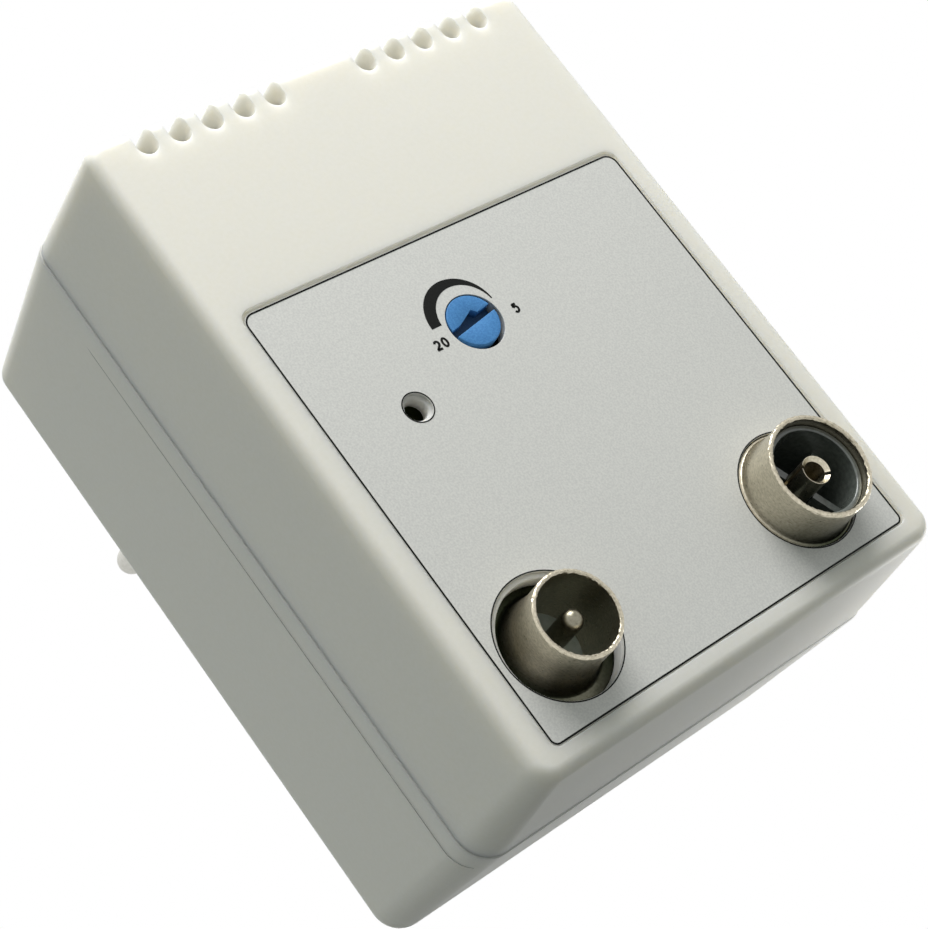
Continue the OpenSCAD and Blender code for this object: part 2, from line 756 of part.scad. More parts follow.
module left_pin_sleeve() pin_sleeve(-1);
module right_pin_sleeve() pin_sleeve(1);

module pin_retainer() color("#d8d4c6") difference() {
    y0 = -plug_face_t - pin_collar_t - retainer_t;
    hull() boss_bars(-boss_wall - 2 * fit_gap, y0, y0 + retainer_t);
    for (x = [-1, 1]) rod([x * pin_spacing / 2, 0], y0 - cut, y0 + retainer_t + cut, pin_neck_r + fit_gap);
}

module mains_lead(side, tint) {
    place = [side * pin_spacing / 2, 0];
    color(tint) union() {
        rod(place, y_board_back, -plug_face_t - pin_collar_t - pin_tail, lead_r);
        rod(place, y_stub_front, y_board_back + skin, wire_r);
    }
}

module left_mains_lead() mains_lead(-1, "#6b4a2c");
module right_mains_lead() mains_lead(1, "#2f5f9e");

module main_board() color("#7d8a3c") difference() {
    union() {
        translate([-board_w / 2, y_board, board_shoulder_bottom])
            cube([board_w, board_t, board_shoulder_top - board_shoulder_bottom]);
        translate([-board_narrow_w / 2, y_board, board_z_bottom])
            cube([board_narrow_w, board_t, board_z_top - board_z_bottom]);
    }
    for (p = wire_places) rod(p, y_board - cut, y_board_back + cut, leg_r + fit_gap);
    for (x = [tv_x, in_x]) rod([x, z_connector], y_board - cut, y_board_back + cut, board_tail_r);
    for (p = post_places) rod(p, y_board - cut, y_board_back + cut, shank_r + screw_gap);
}

module transformer_core() color("#6f6f72") difference() {
    slab([core_x, z_core], core_w, core_stack, y_core, y_core_end);
    window_w = core_w / 2 - yoke_w - limb_w / 2;
    for (side = [-1, 1])
        slab([core_x + side * (limb_w + window_w) / 2, z_core], window_w, core_stack + cut,
            y_window, y_window + window_length);
}

module transformer_bobbin() color("#2c2c2b") difference() {
    y0 = y_window + bobbin_gap;
    y1 = y_window + window_length - bobbin_gap;
    union() {
        slab([core_x, z_core], tube_w, tube_h, y0, y1);
        slab([core_x, z_core], flange_w, flange_h, y0, y0 + bobbin_t);
        slab([core_x, z_core], flange_w, flange_h, y1 - bobbin_t, y1);
        block_h = flange_h / 2 - block_inner;
        for (side = [-1, 1])
            slab([core_x, z_core + side * block_middle], flange_w, block_h, y_board_back, y0 + skin);
    }
    slab([core_x, z_core], limb_w + 2 * bobbin_gap, core_stack + 2 * bobbin_gap, y0 - cut, y1 + cut);
}

// Half of the coil, round the bobbin's tube
module winding(y0, y1) difference() {
    slab([core_x, z_core], coil_w, coil_h, y0 + coil_gap / 2, y1 - coil_gap / 2);
    slab([core_x, z_core], tube_w + coil_gap, tube_h + coil_gap, y0 - cut, y1 + cut);
}

y_coil = y_window + bobbin_gap + bobbin_t;
module primary_winding() color("#8a4b22") winding(y_coil, y_coil + coil_space / 2);
module secondary_winding() color("#b06a2e") winding(y_coil + coil_space / 2, y_coil + coil_space);

module transformer_terminals() color("#c9c9c4")
    for (p = terminal_places) rod(p, y_stub_front, y_board_back, leg_r);

// A part with a round body along X and a wire from each end down through the board
module axial_part(place, body_r, body_l, pitch, tint) {
    y = y_board_back + body_r;
    color(tint) union() {
        translate([place[0] - body_l / 2, y, place[1]]) rotate([0, 90, 0])
            cylinder(r = body_r, h = body_l, $fn = 48);
        translate([place[0] - pitch / 2, y, place[1]]) rotate([0, 90, 0])
            cylinder(r = wire_r, h = pitch, $fn = 24);
        for (p = pair(place, pitch)) {
            rod(p, y_stub_front, y, wire_r);
            translate([p[0], y, p[1]]) sphere(wire_r, $fn = 24);
        }
    }
}

module thermal_fuse() axial_part(fuse_place, fuse_r, fuse_l, fuse_pitch, "#b9b3a2");

module rectifier_diodes() for (p = diode_places) axial_part(p, diode_r, diode_l, diode_pitch, "#262626");

// An upright can on the back of the board with its wires through the board
module can_part(place, r, length, wires, tint) color(tint) union() {
    rod(place, y_board_back, y_board_back + length, r);
    for (p = wires) rod(p, y_stub_front, y_board_back + skin, wire_r);
}

module reservoir_capacitor()
    can_part(reservoir_place, reservoir_r, reservoir_l, pair(reservoir_place, reservoir_pitch), "#26324f");

module output_capacitor()
    can_part(output_place, output_r, output_l, pair(output_place, output_pitch), "#26324f");

module voltage_regulator() color("#1f1f1f") {
    x = regulator_place[0];
    z = regulator_place[1];
    y_body = y_board_back + regulator_lift;
    y_bend = y_board_back + regulator_lift / 2;
    difference() {
        rod(regulator_place, y_body, y_body + regulator_l, regulator_r);
        slab([x, z - regulator_flat - regulator_r], 2 * regulator_r + cut, 2 * regulator_r,
            y_board_back, y_body + regulator_l + cut);
    }
    rod(regulator_place, y_bend, y_body + skin, wire_r);
    slab(regulator_place, 2 * (regulator_pitch + wire_r), 2 * wire_r, y_bend, y_bend + wire_r);
    for (p = row(regulator_place, regulator_pitch)) rod(p, y_stub_front, y_bend + wire_r, wire_r);
}

module shield_can() color("#b8bab8") difference() {
    slab([can_x, z_can], can_w, can_l, y_board - can_h, y_board);
    slab([can_x, z_can], can_w - 2 * can_t, can_l - 2 * can_t, y_board - can_h + can_t, y_board + cut);
}

// Small parts on the front of the board, in rows under the can
module signal_transistors() color("#222222") for (x = [-1, 1])
    slab([can_x + x * transistor_offset, z_can + transistor_offset], transistor_w, transistor_l,
        y_board - transistor_h, y_board);

module ferrite_coupler() color("#4a4744") difference() {
    slab([can_x, z_can], ferrite_w, ferrite_l, y_board - ferrite_h, y_board);
    for (x = [-1, 1]) translate([can_x + x * ferrite_w / 4, y_board - ferrite_h / 2, z_can - ferrite_l])
        cylinder(r = ferrite_hole_r, h = 2 * ferrite_l, $fn = 32);
}

module coupling_capacitors() color("#b98a4a") for (k = [-1:1])
    slab([can_x + k * chip_pitch, z_can - chip_drop], chip_w, chip_l, y_board - chip_h, y_board);

module bias_resistors() color("#2b2b2b") for (x = [-1, 1], z = [-1, 1])
    slab([can_x + x * resistor_offset, z_can + z * resistor_pitch / 2], resistor_w, resistor_l,
        y_board - resistor_h, y_board);

module trimmer_body() color("#2e2e2c") difference() {
    slab([gain_x, z_rotor], trimmer_w, trimmer_w, y_trimmer, y_track);
    rod([gain_x, z_rotor], y_trimmer - cut, y_track + cut, journal_r + journal_gap);
    rod([gain_x, z_rotor], y_wiper_space, y_track + cut, wiper_space_r);
}

module trimmer_track() color("#8b6b3d") slab([gain_x, z_rotor], trimmer_w, trimmer_w, y_track, y_board);

// Turns a shape drawn round the Y axis to the rotor's place and setting
module on_rotor() translate([gain_x, 0, z_rotor]) rotate([0, -rotor_turn, 0]) children();

// The turning head: a screwdriver slot right across it and a pointer notch beside the slot
module trimmer_rotor() color("#3f86c9") on_rotor() difference() {
    union() {
        rod([0, 0], y_rotor, y_rotor_shoulder, rotor_r);
        rod([0, 0], y_rotor_shoulder - skin, y_journal_end, journal_r);
    }
    slab([0, 0], 2 * rotor_r + cut, slot_w, y_rotor - cut, y_rotor + slot_depth);
    translate([0, y_rotor + slot_depth, slot_w / 2 - skin]) rotate([90, 0, 0])
        linear_extrude(slot_depth + cut)
            polygon([[-pointer_left, 0], [pointer_right, 0], [pointer_shift, pointer_l]]);
}

module trimmer_wiper() color("#c7a24a") on_rotor() union() {
    reach = wiper_space_r - wiper_gap;
    rod([0, 0], y_journal_end, y_journal_end + wiper_t, journal_r - wiper_gap);
    translate([-wiper_w / 2, y_journal_end, 0]) cube([wiper_w, wiper_t, reach]);
    rod([0, reach - wiper_tip_r], y_journal_end, y_track - wiper_lift, wiper_tip_r);
}

module trimmer_legs() color("#c9c9c4")
    for (p = leg_places) rod(p, y_trimmer + leg_cover, y_stub_back, leg_r);

module indicator_led() color("#5f7a52") union() {
    rod([lamp_x, z_lamp], y_board - led_base_t, y_board, led_base_r);
    rod([lamp_x, z_lamp], y_board - led_h + led_r, y_board - led_base_t + skin, led_r);
    translate([lamp_x, y_board - led_h + led_r, z_lamp]) sphere(led_r, $fn = 64);
}

module led_leads() color("#c9c9c4") for (p = led_places) rod(p, y_board, y_stub_back, wire_r);

module tv_plug_shell() color("#b9b2a4") difference() {
    union() {
        rod([tv_x, z_connector], y_tv_rim, y_board, tv_shell_r);
        rod([tv_x, z_connector], y_tv_flange, y_tv_flange + tv_flange_t, tv_flange_r);
        rod([tv_x, z_connector], y_tv_flange + tv_flange_t - skin, y_board, tv_body_r);
    }
    rod([tv_x, z_connector], y_tv_rim - cut, y_board + cut, tv_shell_r - tv_shell_t);
}

module tv_plug_insulator() color("#2a2b29")
    tube([tv_x, z_connector], y_tv_floor, y_board, tv_shell_r - tv_shell_t - fit_gap, tail_r + fit_gap);

module tv_plug_pin() color("#cfc9bb") union() {
    y_tip = y_tv_rim + tv_pin_sink + tv_pin_r;
    translate([tv_x, y_tip, z_connector]) sphere(tv_pin_r, $fn = 64);
    rod([tv_x, z_connector], y_tip, y_tv_floor, tv_pin_r);
    rod([tv_x, z_connector], y_tv_floor - skin, y_stub_back, tail_r);
}

module in_socket_shell() color("#b9b2a4") difference() {
    union() {
        rod([in_x, z_connector], y_in_rim, y_board, in_shell_r);
        rod([in_x, z_connector], y_board - in_foot_t, y_board, in_foot_r);
        rod([in_x, z_connector], y_in_collar, y_in_collar + in_collar_t, in_collar_r);
    }
    rod([in_x, z_connector], y_in_rim - cut, y_board + cut, in_shell_r - in_shell_t);
}

module in_socket_liner() color("#1b1c1b") difference() {
    rod([in_x, z_connector], y_in_rim + in_liner_sink, y_board, in_shell_r - in_shell_t - fit_gap);
    rod([in_x, z_connector], y_in_rim, y_in_floor, in_liner_r);
    rod([in_x, z_connector], y_in_rim, y_board + cut, tail_r + fit_gap);
}

module in_socket_contact() color("#cfc9bb") union() {
    y_mouth = y_in_rim + contact_sink;
    difference() {
        rod([in_x, z_connector], y_mouth, y_in_floor, contact_r);
        rod([in_x, z_connector], y_mouth - cut, y_in_floor - contact_base, contact_bore_r);
    }
    rod([in_x, z_connector], y_in_floor - skin, y_stub_back, tail_r);
}

front_cover();
rear_cover();
front_label();
case_screws();
left_plug_pin();
right_plug_pin();
left_pin_sleeve();
right_pin_sleeve();
pin_retainer();
left_mains_lead();
right_mains_lead();
main_board();
board_screws();
transformer_core();
transformer_bobbin();
primary_winding();
secondary_winding();
transformer_terminals();
thermal_fuse();
rectifier_diodes();
reservoir_capacitor();
output_capacitor();
voltage_regulator();
shield_can();
signal_transistors();
ferrite_coupler();
coupling_capacitors();
bias_resistors();
trimmer_body();
trimmer_track();
trimmer_rotor();
trimmer_wiper();
trimmer_legs();
indicator_led();
led_leads();
tv_plug_shell();
tv_plug_insulator();
tv_plug_pin();
in_socket_shell();
in_socket_liner();
in_socket_contact();
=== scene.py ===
"""Dresses a plug-in aerial amplifier: moulded covers, printed panel, plated connectors and gain control.

Lengths are metres in the part's own frame. Seen from the front, along +Y, +X is right and +Z is up.
"""

import json
import math
import random

import bmesh
import bpy
from mathutils import Matrix, Vector


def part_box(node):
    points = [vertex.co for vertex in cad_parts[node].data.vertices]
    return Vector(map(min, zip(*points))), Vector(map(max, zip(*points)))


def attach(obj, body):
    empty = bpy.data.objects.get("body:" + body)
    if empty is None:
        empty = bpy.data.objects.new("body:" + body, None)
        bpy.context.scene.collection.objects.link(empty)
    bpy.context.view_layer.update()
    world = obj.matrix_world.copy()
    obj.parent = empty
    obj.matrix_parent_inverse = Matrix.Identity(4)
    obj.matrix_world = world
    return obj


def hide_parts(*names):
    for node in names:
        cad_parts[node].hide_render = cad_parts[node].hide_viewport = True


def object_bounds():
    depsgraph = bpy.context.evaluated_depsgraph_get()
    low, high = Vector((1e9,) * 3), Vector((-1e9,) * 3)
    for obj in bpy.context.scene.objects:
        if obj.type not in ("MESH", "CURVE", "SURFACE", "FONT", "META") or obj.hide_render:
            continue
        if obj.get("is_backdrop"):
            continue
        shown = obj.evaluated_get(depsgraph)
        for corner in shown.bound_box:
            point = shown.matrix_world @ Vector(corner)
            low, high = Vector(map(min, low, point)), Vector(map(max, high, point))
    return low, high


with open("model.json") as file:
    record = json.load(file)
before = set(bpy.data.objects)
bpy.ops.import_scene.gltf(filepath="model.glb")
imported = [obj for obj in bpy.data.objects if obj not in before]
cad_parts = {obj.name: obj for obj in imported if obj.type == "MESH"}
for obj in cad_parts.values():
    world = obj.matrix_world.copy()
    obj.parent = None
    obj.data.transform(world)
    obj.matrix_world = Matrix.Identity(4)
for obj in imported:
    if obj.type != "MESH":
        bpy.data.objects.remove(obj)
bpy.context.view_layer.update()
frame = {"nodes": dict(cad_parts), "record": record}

bl_info = {
    "name": "Aerial Amplifier Look",
    "version": (1, 0, 0),
    "blender": (4, 5, 0),
    "location": "3D View > Sidebar > Amplifier",
    "description": "Builds the visible pieces of a plug-in aerial amplifier around its CAD frame",
    "category": "Object",
}

MM = 0.001
CASE, CONTROL = "case", "gain_control"
# Name of the attribute that stores how much shade is painted on each point or face of a piece
PAINTED_SHADE = "painted_shade"
CIRCLE_STEPS = 64

# The dial's tapering arc: X and Z of its middle from the label's middle, its radius and its ends in degrees
DIAL_STEPS = 40
DIAL_OUTSIDE = (-4.0 * MM, 16.4 * MM, 4.35 * MM, 181.3, 3.3)
DIAL_INSIDE = (-3.4 * MM, 16.05 * MM, 3.65 * MM, 176.1, 9.0)

# The dial's plain numbers, and X and Z of each one's middle from the label's middle
DIAL_NUMBERS = {"20": (-8.5 * MM, 14.5 * MM), "5": (2.0 * MM, 14.5 * MM)}

# Directions from the part to the lamps
KEY_SIDE = Vector((0.14, -0.62, 1.0))
LOW_SIDE = Vector((0.66, -0.2, -0.67))

METAL_CLASSES = ("brushed_steel", "chrome", "brass", "aluminium", "cast_iron")
GLOSS_CLASSES = ("gloss_plastic", "chrome")


# Settings


def length(name, description, millimetres):
    """A length property given in millimetres."""
    return bpy.props.FloatProperty(
        name=name, description=description, default=millimetres * MM, min=0.0, precision=5, unit="LENGTH"
    )


def place(name, description, millimetres):
    """A length property that may lie on either side of zero."""
    return bpy.props.FloatProperty(
        name=name, description=description, default=millimetres * MM, precision=5, unit="LENGTH"
    )


def angle(name, description, degrees):
    """An angle property given in degrees."""
    return bpy.props.FloatProperty(
        name=name, description=description, default=math.radians(degrees), subtype="ANGLE", unit="ROTATION"
    )


def colour(name, description, red, green, blue):
    """A colour property given as display values from 0 to 255."""
    return bpy.props.FloatVectorProperty(
        name=name, description=description, size=3, min=0.0, max=1.0, subtype="COLOR",
        default=tuple(linear(value / 255) for value in (red, green, blue)),
    )


def number(name, description, value):
    """A plain number property."""
    return bpy.props.FloatProperty(name=name, description=description, default=value)


def linear(value):
    """The linear value of a display value from 0 to 1."""
    return value / 12.92 if value <= 0.04045 else ((value + 0.055) / 1.055) ** 2.4


class CoverSettings(bpy.types.PropertyGroup):
    """Sizes and colours of the two moulded covers."""

    front_round: length("Front rounding", "Rounding of the front edges", 1.3)
    back_round: length("Back rounding", "Rounding of the back edges", 2.3)
    top_corner: length("Top corner", "Corner radius at the top of the outline", 1.9)
    bottom_corner: length("Bottom corner", "Corner radius at the bottom of the outline", 2.6)
    least_corner: length("Least corner", "Smallest corner radius of any outline", 0.4)
    wall: length("Wall", "Wall thickness of both covers", 2.2)
    draft: angle("Front draft", "Draft of the front cover's sides", 3.6)
    rear_draft: angle("Rear draft", "Draft of the rear cover's sides", 1.2)
    bottom_draft: angle("Front bottom draft", "Draft of the front cover's bottom", 4.4)
    rear_bottom_draft: angle("Rear bottom draft", "Draft of the rear cover's bottom", 2.7)
    seam_round: length("Seam rounding", "Rounding of the covers' edges at the seam", 0.1)
    edge_break: length("Edge break", "Width of the small rounding on cut edges", 0.14)
    witness_back: length("Witness line", "Distance of the mould's witness line behind the seam", 3.0)
    witness_w: length("Witness width", "Width of the witness line", 0.16)
    witness_depth: length("Witness depth", "Depth of the witness line at the bottom of the sides", 0.2)
    witness_rise: length("Witness rise", "How far above the sides the line's floor ends at the top", 0.03)
    witness_share: number("Witness share", "Share of the half width beyond which the line is cut", 0.96)
    vent_w: length("Vent width", "Width of a vent slot", 2.5)
    vent_pitch: length("Vent pitch", "Distance between neighbouring vent slots", 4.15)
    vent_first: length("First vent", "Distance of the innermost slot from the middle", 6.35)
    vent_drop: length("Vent drop", "Depth of a slot below the top edge", 3.4)
    vent_run: length("Vent run", "Length of a slot along the top", 8.0)
    vent_count: bpy.props.IntProperty(name="Vents", description="Vent slots in each group", default=5, min=1)
    shoulder_depth: length("Shoulder depth", "Depth of the tapered shoulder behind the case", 6.0)
    shoulder_spread: length("Shoulder spread", "Spread of the shoulder around the plug boss", 4.5)
    boss_length: length("Boss length", "Length of the plug boss beyond its shoulder", 16.5)
    boss_w: length("Boss width", "Width of the plug boss", 35.3)
    boss_h: length("Boss height", "Height of the plug boss", 13.7)
    boss_flat_w: length("Boss flat", "Width of the plug boss's flat top and bottom", 25.0)
    boss_flat_h: length("Boss end", "Height of the plug boss's flat ends", 4.0)
    boss_round: length("Boss rounding", "Rounding of the plug boss's edges", 1.2)
    face_t: length("Plug face", "Thickness of the plug face", 4.0)
    screw_hole: length("Screw hole", "Radius of the case screws' holes", 2.8)
    screw_head: length("Screw head", "Radius of a case screw's head", 2.5)
    screw_tall: length("Screw head height", "Height of a case screw's head", 2.0)
    screw_shank: length("Screw shank", "Radius of a case screw's shank", 1.1)
    screw_column: length("Screw column", "Radius of the columns round the case screws", 4.0)
    screw_round: length("Screw rounding", "Rounding of a case screw's head", 0.7)
    cross_l: length("Cross length", "Length of the cross recess in a case screw", 3.0)
    cross_w: length("Cross width", "Width of the cross recess in a case screw", 0.6)
    cross_depth: length("Cross depth", "Depth of the cross recess in a case screw", 1.0)
    glow: length("Glow", "How far light travels inside the plastic", 2.4)
    # Painted shade in the witness groove, given as the share of the covers' colour left there
    witness_shade: colour("Grime", "Share of the covers' colour left in the witness line", 200, 200, 196)
    cream: colour("Cream", "Colour of the covers", 243, 238, 228)
    cream_dim: colour("Cream, dim", "Second colour of the covers' grain", 241, 236, 225)


class PanelSettings(bpy.types.PropertyGroup):
    """Sizes and colours of the printed panel and what shows through it."""

    corner: length("Corner", "Radius of the label's upper corners", 1.4)
    low_corner: length("Lower corner", "Radius of the label's lower corners", 0.9)
    label_break: length("Label edge", "Width of the small rounding on the label's edges", 0.04)
    gap: length("Recess gap", "Clearance between the label and its recess", 0.05)
    top_gap: length("Top gap", "Room between the label and its recess at the top", 0.4)
    right_gap: length("Right gap", "Room between the label and its recess on the right", 0.3)
    ink: length("Ink", "Thickness of the print", 0.02)
    line_w: length("Line width", "Width of the line along the label's edge", 0.2)
    line_inset: length("Line inset", "Distance of that line from the label's edge", 0.05)
    hole: length("Connector hole", "Radius of the two connector openings", 6.85)
    ledge: length("Plug ledge", "How much smaller the plug's opening is in the cover than in the label", 0.3)
    ledge_x: place("Plug ledge X", "How far that opening is off the plug's axis to the right", -0.02)
    ledge_z: place("Plug ledge Z", "How far that opening is off the plug's axis upwards", -0.25)
    gain_hole: length("Gain hole", "Radius of the gain control's opening", 3.33)
    gain_drop: length("Gain drop", "Distance of that opening's middle below the rotor's axis", 0.22)
    lamp_hole: length("Lamp hole", "Radius of the lamp's opening in the label", 1.62)
    lamp_bore: length("Lamp bore", "Radius of the lamp's opening in the cover", 1.25)
    lamp_funnel: length("Lamp funnel", "Depth of the taper between the two", 0.3)
    hole_line: length("Hole line", "Width of the dark line round the openings", 0.14)
    hole_edge: length("Hole edge", "Distance of that line from an opening's edge", 0.04)
    lens_r: length("Lens", "Radius of the lamp's lens", 1.5)
    lens_base: length("Lens base", "Thickness of the ring at the foot of the lens", 1.0)
    digit_h: length("Digit height", "Height of the dial's numbers", 1.25)
    digit_w: length("Digit width", "Width of one digit", 0.78)
    digit_gap: length("Digit gap", "Distance between two digits", 0.2)
    stroke: length("Stroke", "Width of the digits' strokes", 0.27)
    journal_r: length("Journal", "Radius of the rotor's journal", 2.2)
    rotor_gap: length("Rotor gap", "Gap between the rotor's head and the trimmer's body", 0.2)
    rotor_round: length("Rotor rounding", "Rounding of the rotor's edge", 0.15)
    rotor_break: length("Rotor slot edge", "Width of the small rounding on the slot's edges", 0.05)
    slot_turn: angle("Slot turn", "Turn of the rotor's slot at rest", 10.0)
    slot_w: length("Slot width", "Width of the rotor's slot", 0.8)
    slot_depth: length("Slot depth", "Depth of the rotor's slot", 1.1)
    notch_tail: length("Notch tail", "Distance of the pointer notch's thin end from the axis", 1.9)
    notch_point: length("Notch point", "Distance of the pointer notch's other end from the axis", 1.15)
    notch_peak: length("Notch peak", "Distance of the pointer notch's peak along the slot from the axis", 0.65)
    notch_h: length("Notch height", "Height of the pointer notch's peak beside the slot", 0.65)
    # The slot's darkening with depth is painted shade
    slot_shade_start: length("Slot fade", "Depth in the rotor's slot where its colour starts to fade", 0.2)
    slot_shade: colour("Slot dull", "Share of the colour left at the slot's floor", 137, 137, 137)
    silver: colour("Silver", "Colour of the label", 221, 220, 215)
    silver_dim: colour("Silver, dim", "Second colour of the label's grain", 208, 207, 203)
    black: colour("Ink colour", "Colour of the print", 26, 27, 25)
    blue: colour("Blue", "Colour of the gain control", 84, 146, 204)
    blue_dim: colour("Blue, dim", "Second colour of the gain control", 70, 128, 188)


class ConnectorSettings(bpy.types.PropertyGroup):
    """Sizes and colours of the two aerial connectors and the mains pins, and the shade painted on the plating."""

    tv_r: length("Plug radius", "Outer radius of the aerial plug's shell", 4.76)
    tv_wall: length("Plug wall", "Wall of the aerial plug's shell", 0.5)
    tv_flange_sink: length("Flange sink", "Depth of the plug's flange below the front face", 2.3)
    tv_flange_t: length("Flange", "Thickness of the plug's flange", 1.3)
    tv_body: length("Plug body", "How much thicker the plug's body is than its shell", 0.8)
    in_r: length("Socket radius", "Outer radius of the aerial socket's shell", 6.03)
    in_wall: length("Socket wall", "Wall of the aerial socket's shell", 0.55)
    in_foot: length("Socket foot", "Thickness of the socket's foot", 1.0)
    liner_r: length("Liner radius", "Inner radius of the socket's liner", 4.85)
    floor_depth: length("Socket depth", "Depth from the socket's rim to its floor", 9.5)
    contact_bore: length("Contact bore", "Bore radius of the socket's contact", 1.2)
    contact_base: length("Contact base", "Thickness of the contact's closed end", 0.6)
    tail_r: length("Tail", "Radius of the connectors' tails", 0.8)
    rim_round: length("Rim rounding", "Rounding of the shells' rims", 0.2)
    rim_rough: length("Rim roughness", "Unevenness of the shells' cut rims", 0.04)
    rim_reach: length("Rim reach", "How far the unevenness reaches from a rim", 0.2)
    tv_flare_w: length("Plug flare width", "Spread of the flare at the foot of the plug's shell", 1.0)
    tv_flare: length("Plug flare", "Height of the flare at the foot of the plug's shell", 4.2)
    in_flare: length("Socket flare", "Height of the flare at the foot of the socket's shell", 4.2)
    play: length("Play", "Clearance between pieces pushed into each other", 0.05)
    in_collar_r: length("Socket collar", "Radius of the socket's collar", 6.75)
    in_collar_t: length("Socket collar thickness", "Thickness of the socket's collar", 1.2)
    collar_sink: length("Collar sink", "Depth of the socket's collar below the front face", 0.3)
    web_count: bpy.props.IntProperty(name="Webs", description="Webs on the socket's floor", default=4, min=0)
    web_t: length("Web thickness", "Thickness of a web on the socket's floor", 0.8)
    web_h: length("Web height", "Height of a web above the socket's floor", 5.0)
    web_in: length("Web start", "Distance of a web from the socket's axis", 1.7)
    web_turn: angle("Web turn", "Turn of the webs about the socket's axis", 25.0)
    funnel: length("Funnel", "Depth of the funnel at the mouth of the socket's contact", 0.4)
    slit: length("Slit", "Width of the slits in the socket's contact", 0.4)
    slit_depth: length("Slit depth", "Depth of those slits", 4.0)
    slit_turn: angle("Slit turn", "Turn of those slits about the socket's axis", -40.0)
    pin_r: length("Mains pin", "Radius of a mains pin", 2.0)
    neck_r: length("Pin neck", "Radius of a mains pin under its sleeve", 1.5)
    collar_t: length("Collar", "Thickness of a mains pin's collar", 1.5)
    nickel: colour("Nickel", "Colour of the plating", 212, 204, 184)
    nickel_dim: colour("Nickel, dim", "Second colour of the plating", 184, 177, 157)
    # The plating's darker tint below is painted shade: on the sunk flange, inside the shells, over the plug's centre
    # pin and under the socket's foot, lifted again at the plug's lowest point.
    shade_tint: colour("Dull", "Share of the plating's colour left where it is tarnished", 73, 82, 72)
    shade_above: length("Dull above", "Height above the front face where the plating starts to dull", 0.0)
    shade_below: length("Dull below", "Depth below the front face where the plating is dullest", 2.0)
    inside_tarnish: number("Inside tarnish", "Tarnish inside the shells", 0.25)
    side_shade: number("Side tarnish", "Tarnish at the socket's foot", 0.1)
    under_shade: number("Under tarnish", "Added tarnish under the socket's foot", 0.9)
    pin_shade: number("Pin tarnish", "Tarnish of the plug's centre pin", 0.6)
    shade_relief: number("Relief", "Tarnish missing under the plug", 0.15)
    shade_relief_power: number("Relief power", "How closely that relief keeps to the lowest point", 6.0)
    pin: colour("Pin", "Colour of the mains pins", 226, 224, 216)
    pin_dim: colour("Pin, dim", "Second colour of the mains pins", 214, 212, 203)


class StageSettings(bpy.types.PropertyGroup):
    """Camera, floor and lamps."""

    camera_x: place("Camera X", "Camera place", -136.511)
    camera_y: place("Camera Y", "Camera place", -238.762)
    camera_z: place("Camera Z", "Camera place", -79.958)
    aim_x: place("Aim X", "Point at the picture's middle", -15.283)
    aim_y: place("Aim Y", "Point at the picture's middle", -66.5)
    aim_z: place("Aim Z", "Point at the picture's middle", -32.841)
    roll: angle("Roll", "Turn of the camera about its view line", 36.748)
    lens: number("Lens", "Focal length in mm", 84.915)
    floor_drop: length("Floor", "Distance of the floor below the part", 900.0)
    floor_lift: number("Floor lift", "Light added to the floor where it is seen", 0.8)
    floor: colour("Floor colour", "Colour of the floor", 160, 160, 160)
    floor_size: length("Floor size", "Side of the floor", 6000.0)
    key_power: number("Key", "Power of the main lamp", 2.0)
    key_far: length("Key distance", "Distance of the main lamp", 420.0)
    key_size: length("Key size", "Side of the main lamp", 280.0)
    side_power: number("Side", "Power of the lamp below right", 0.018)
    side_far: length("Side distance", "Distance of the lamp below right", 90.0)
    side_size: length("Side size", "Side of the lamp below right", 30.0)
    ambient: number("Ambient", "Light from all round", 0.415)
    room: colour("Room", "Tint of the light from all round", 246, 255, 252)


# Mesh helpers


def arc(x, z, radius, start, end, steps):
    """Points along a round arc, with the angles in degrees."""
    turns = [math.radians(start + (end - start) * k / steps) for k in range(steps + 1)]
    return [(x + radius * math.cos(t), z + radius * math.sin(t)) for t in turns]


def rounded(half_w, low, high, low_r, high_r, steps=8):
    """A rectangle's outline with round corners, as (x, z) points."""
    return (
        arc(half_w - low_r, low + low_r, low_r, -90, 0, steps)
        + arc(half_w - high_r, high - high_r, high_r, 0, 90, steps)
        + arc(high_r - half_w, high - high_r, high_r, 90, 180, steps)
        + arc(low_r - half_w, low + low_r, low_r, 180, 270, steps)
    )


def fillet(points, radii, steps=5):
    """A closed outline whose corners are rounded, each by its own radius."""
    out = []
    for k, (point, radius) in enumerate(zip(points, radii)):
        corner = Vector(point)
        to_last = (Vector(points[k - 1]) - corner).normalized()
        to_next = (Vector(points[(k + 1) % len(points)]) - corner).normalized()
        if radius <= 0 or abs(to_last.dot(to_next)) > 0.999:
            out.append(tuple(corner))
            continue
        half = to_last.angle(to_next) / 2
        reach = radius / math.tan(half)
        middle = corner + (to_last + to_next).normalized() * (radius / math.sin(half))
        start = corner + to_last * reach - middle
        turn = start.angle_signed(corner + to_next * reach - middle)
        for step in range(steps + 1):
            a = -turn * step / steps
            out.append((middle.x + start.x * math.cos(a) - start.y * math.sin(a),
                        middle.y + start.x * math.sin(a) + start.y * math.cos(a)))
    return out


def loft(loops):
    """A closed solid through loops of equal length, capped at both ends."""
    bm = bmesh.new()
    rows = [[bm.verts.new(point) for point in loop] for loop in loops]
    for low, high in zip(rows, rows[1:]):
        for k in range(len(low)):
            j = (k + 1) % len(low)
            bm.faces.new((low[k], low[j], high[j], high[k]))
    bm.faces.new(rows[0])
    bm.faces.new(rows[-1])
    bmesh.ops.recalc_face_normals(bm, faces=bm.faces)
    return bm


def prism(outline, y0, y1):
    """A straight solid between two depths."""
    return loft([[(x, y, z) for x, z in outline] for y in (y0, y1)])


